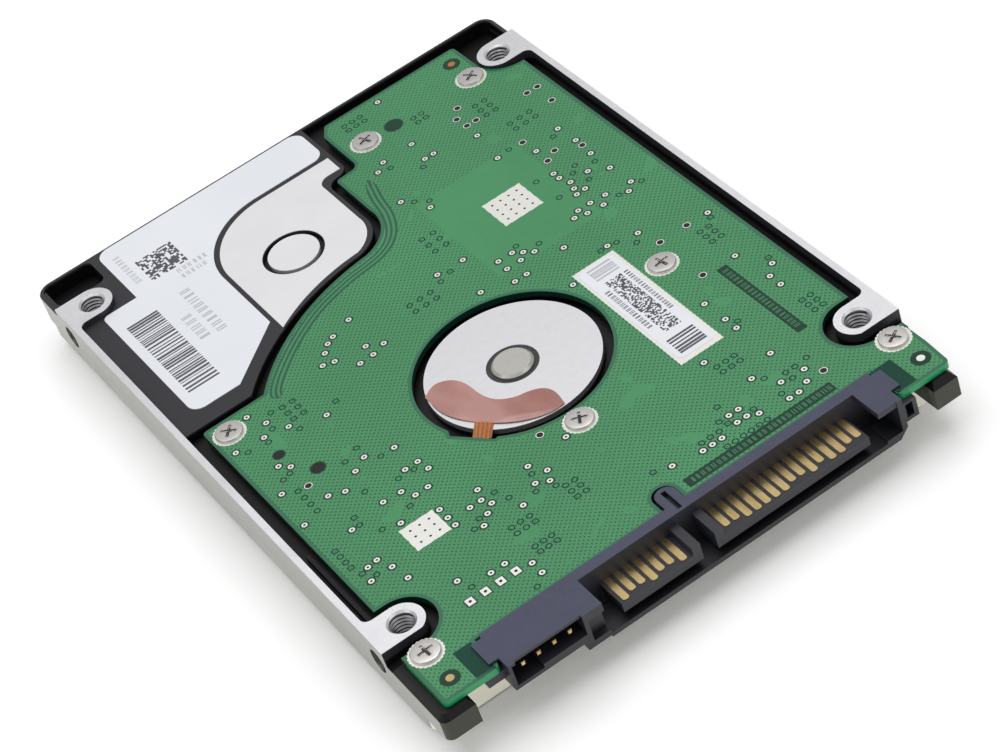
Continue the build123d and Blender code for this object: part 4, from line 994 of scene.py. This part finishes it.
# rows of short strokes that stand for small print
def makeLines(rows, level, chance, material, name):
    strokes = []
    top = level + printSet["height"]
    for x, y, length, tall, upright in rows:
        thin = printSet["strokeWidth"] * tall
        at = 0.0
        while at < length:
            part = chance.uniform(0.35, 0.6) * tall
            for step in (0.0, chance.uniform(0.4, 0.8)):
                shift = at + part * step
                low, high = (x + shift, y), (x + shift + thin, y + tall)
                if upright:
                    low, high = (x, y - shift - thin), (x + tall, y - shift)
                strokes.append(addBox("stroke", onLevel(*low, level), onLevel(*high, top)))
            at += part + 0.4 * tall
    return finishPiece(joinAll(strokes, name), material)


luck = random.Random(5)
finishPiece(makeBars("basePrintBars", *printSet["bars"], labelTop, luck, 0.13, 0.42), finish["ink"])
finishPiece(makeCode(printSet["code"], labelTop, luck), finish["ink"])
finishPiece(makeCode(printSet["labelCode"], boardLabelTop, luck), finish["ink"])
for span, kind in zip(printSet["labelBars"], ("ink", "greyInk")):
    finishPiece(makeBars("boardPrintBars", *span, boardLabelTop, luck, 0.1, 0.4), finish[kind])
makeLines(printSet["baseRows"], labelTop, luck, finish["greyInk"], "basePrintLines")
makeLines(printSet["labelRows"], boardLabelTop, luck, finish["ink"], "boardPrintLines")
makeLines(printSet["boardRows"], boardTop + printSet["boardLift"], luck, finish["maskTrace"], "boardMarkLines")
print("prints made")

# motor flex film, wrinkled, with its copper tail
flexSet = {
    "inner": [(-10.3, -7.4), (-8.6, -6.3), (-6.6, -7.4), (-5.6, -9.4), (-5.5, -12.3), (-4.7, -14.4),
              (-3.1, -15.7), (-1.2, -16.1), (0.3, -17.0), (0.9, -18.6), (0.5, -21.0)],
    "middleY": -10.6, "rim": 10.5, "rimDip": 0.85, "rimStart": -90.0, "rimEnd": -195.0, "rimSteps": 28,
    "thick": 0.05 * mm, "wave": 0.2 * mm, "waveEdge": 1.2,
    "tailWires": 4, "wirePitch": 0.5 * mm, "wireWidth": 0.3 * mm, "wireLength": 2.9 * mm,
    "wireLow": 0.08 * mm, "wireHigh": 0.16 * mm, "wireBevel": 0.03 * mm, "filmWidth": 2.3 * mm,
    "filmLow": 0.03 * mm, "filmHigh": 0.09 * mm, "filmBack": 0.3 * mm, "filmShort": 0.1 * mm,
    "tailAt": (-7.6, -16.25), "tailTurn": -128.0}


# each corner is cut at its quarter points, with the two ends kept
def rounded(points):
    soft = [points[0]]
    for (x0, y0), (x1, y1) in zip(points, points[1:]):
        soft.append((0.75 * x0 + 0.25 * x1, 0.75 * y0 + 0.25 * y1))
        soft.append((0.25 * x0 + 0.75 * x1, 0.25 * y0 + 0.75 * y1))
    return soft + [points[-1]]


# a filled circle pulled to the film's outline, cut finely and waved
def makeFilm(values):
    outline = rounded(rounded(values["inner"]))
    for step in range(1, values["rimSteps"]):
        part = step / values["rimSteps"]
        turn = math.radians(values["rimStart"] + (values["rimEnd"] - values["rimStart"]) * part)
        reach = values["rim"] - values["rimDip"] * math.sin(math.pi * part) ** 2
        outline.append((reach * math.cos(turn), values["middleY"] + reach * math.sin(turn)))
    bpy.ops.mesh.primitive_circle_add(vertices=len(outline), radius=1.0, fill_type="NGON")
    film = nameIt(bpy.context.object, "motorFilm")
    for vertex, (x, y) in zip(film.data.vertices, outline):
        vertex.co = (x * mm, y * mm, discTop)
    editFaces(film, lambda face: True)
    bpy.ops.mesh.quads_convert_to_tris()
    for times in range(3):
        bpy.ops.mesh.beautify_fill()
        bpy.ops.mesh.subdivide(number_cuts=1)
        bpy.ops.mesh.quads_convert_to_tris()
    objectMode()
    for vertex in film.data.vertices:
        x, y = vertex.co.x / mm, vertex.co.y / mm
        wave = math.sin(0.9 * x + 0.75 * y) + 0.5 * math.sin(0.5 * y - 0.6 * x + 1.3)
        inward = (values["rim"] - math.hypot(x, y - values["middleY"])) / values["waveEdge"]
        lift = max(0.0, 0.5 + 0.5 * wave) * values["wave"] * min(1.0, max(0.0, inward))
        vertex.co.z = discTop + values["thick"] * 1.2 + lift
    useModifier(film, "SOLIDIFY", thickness=values["thick"], offset=-1.0)
    return film


# flat conductors side by side, on a strip of amber film that reaches under the board
def makeTail(values):
    length, halfWire, half = values["wireLength"], values["wireWidth"] / 2, values["filmWidth"] / 2
    wires = []
    for number in range(values["tailWires"]):
        shift = (number - (values["tailWires"] - 1) / 2) * values["wirePitch"]
        wires.append(addBox("tailWire", (0, shift - halfWire, values["wireLow"]),
                            (length, shift + halfWire, values["wireHigh"]), bevel=values["wireBevel"]))
    strip = addBox("tailStrip", (-values["filmBack"], -half, values["filmLow"]),
                   (length - values["filmShort"], half, values["filmHigh"]))
    place = Matrix.Translation(onLevel(*values["tailAt"], discTop))
    turn = Matrix.Rotation(math.radians(values["tailTurn"]), 4, "Z")
    for piece, kind in ((joinAll(wires, "tailWires"), "copperSkin"), (strip, "amberFilm")):
        piece.data.transform(place @ turn)
        finishPiece(piece, finish[kind])


film = finishPiece(makeFilm(flexSet), filmRose, smooth=60)
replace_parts(film, "motor_flex")
makeTail(flexSet)
print("motor flex made")

# floor, light and camera
studio = {
    "floor": (1.0, 1.0, 1.0), "floorShade": (0.97, 0.97, 0.97), "floorGlow": 0.1, "floorSize": 6.0,
    "world": (1.0, 1.0, 1.0), "worldStrength": 0.46,
    "camera": (-0.09313, -0.26916, 0.24107), "forward": (0.25349, 0.71889, -0.64726), "roll": -20.14,
    "lens": 113.1, "sensor": 36.0, "near": 0.01, "far": 20.0,
    "lamps": [  # name, place, size, power
        ("overhead", (0.0, 0.1, 1.0), 1.1, 6.6),
        ("backPanel", (0.25, 0.95, 0.75), 0.9, 0.25),
        ("leftFill", (-0.9, -0.1, 0.45), 0.6, 0.6),
        ("frontFill", (0.6, -0.9, 0.5), 0.9, 1.2),
    ],
}


def makeFloor(values):
    bpy.ops.mesh.primitive_plane_add(size=values["floorSize"], location=(0, 0, cadBox[0].z - 0.01 * mm))
    floor = nameIt(bpy.context.object, "studioFloor")
    material, tree, shader = newMaterial("paleFloor", values["floor"], 0.85,
                                         Emission_Strength=values["floorGlow"])
    grain = grainNode(tree, objectPlace(tree), 400.0, 6.0, 0.5)
    colour = grainColour(tree, grain, values["floor"], values["floorShade"], 0.1)
    tree.links.new(colour, shader.inputs["Base Color"])
    floor.data.materials.append(material)


def makeLights(values):
    world = bpy.data.worlds.new("studioWorld")
    bpy.context.scene.world = world
    world.use_nodes = True
    sky = world.node_tree.nodes["Background"]
    sky.inputs["Color"].default_value = (*values["world"], 1.0)
    sky.inputs["Strength"].default_value = values["worldStrength"]
    for name, place, size, power in values["lamps"]:
        bpy.ops.object.light_add(type="AREA", location=place)
        lamp = bpy.context.object
        lamp.name = name
        lamp.data.shape = "SQUARE"
        lamp.data.size = size
        lamp.data.energy = power
        lamp.rotation_euler = (-Vector(place)).to_track_quat("-Z", "Y").to_euler()


def makeCamera(values):
    bpy.ops.object.camera_add(location=values["camera"])
    camera = bpy.context.object
    aim = Vector(values["forward"]).to_track_quat("-Z", "Y").to_matrix()
    camera.rotation_euler = (aim @ Matrix.Rotation(math.radians(values["roll"]), 3, "Z")).to_euler()
    camera.data.sensor_width = values["sensor"]
    camera.data.lens = values["lens"]
    camera.data.clip_start = values["near"]
    camera.data.clip_end = values["far"]
    bpy.context.scene.camera = camera


makeFloor(studio)
makeLights(studio)
makeCamera(studio)
bpy.context.scene.view_settings.view_transform = "Standard"
print("studio made")
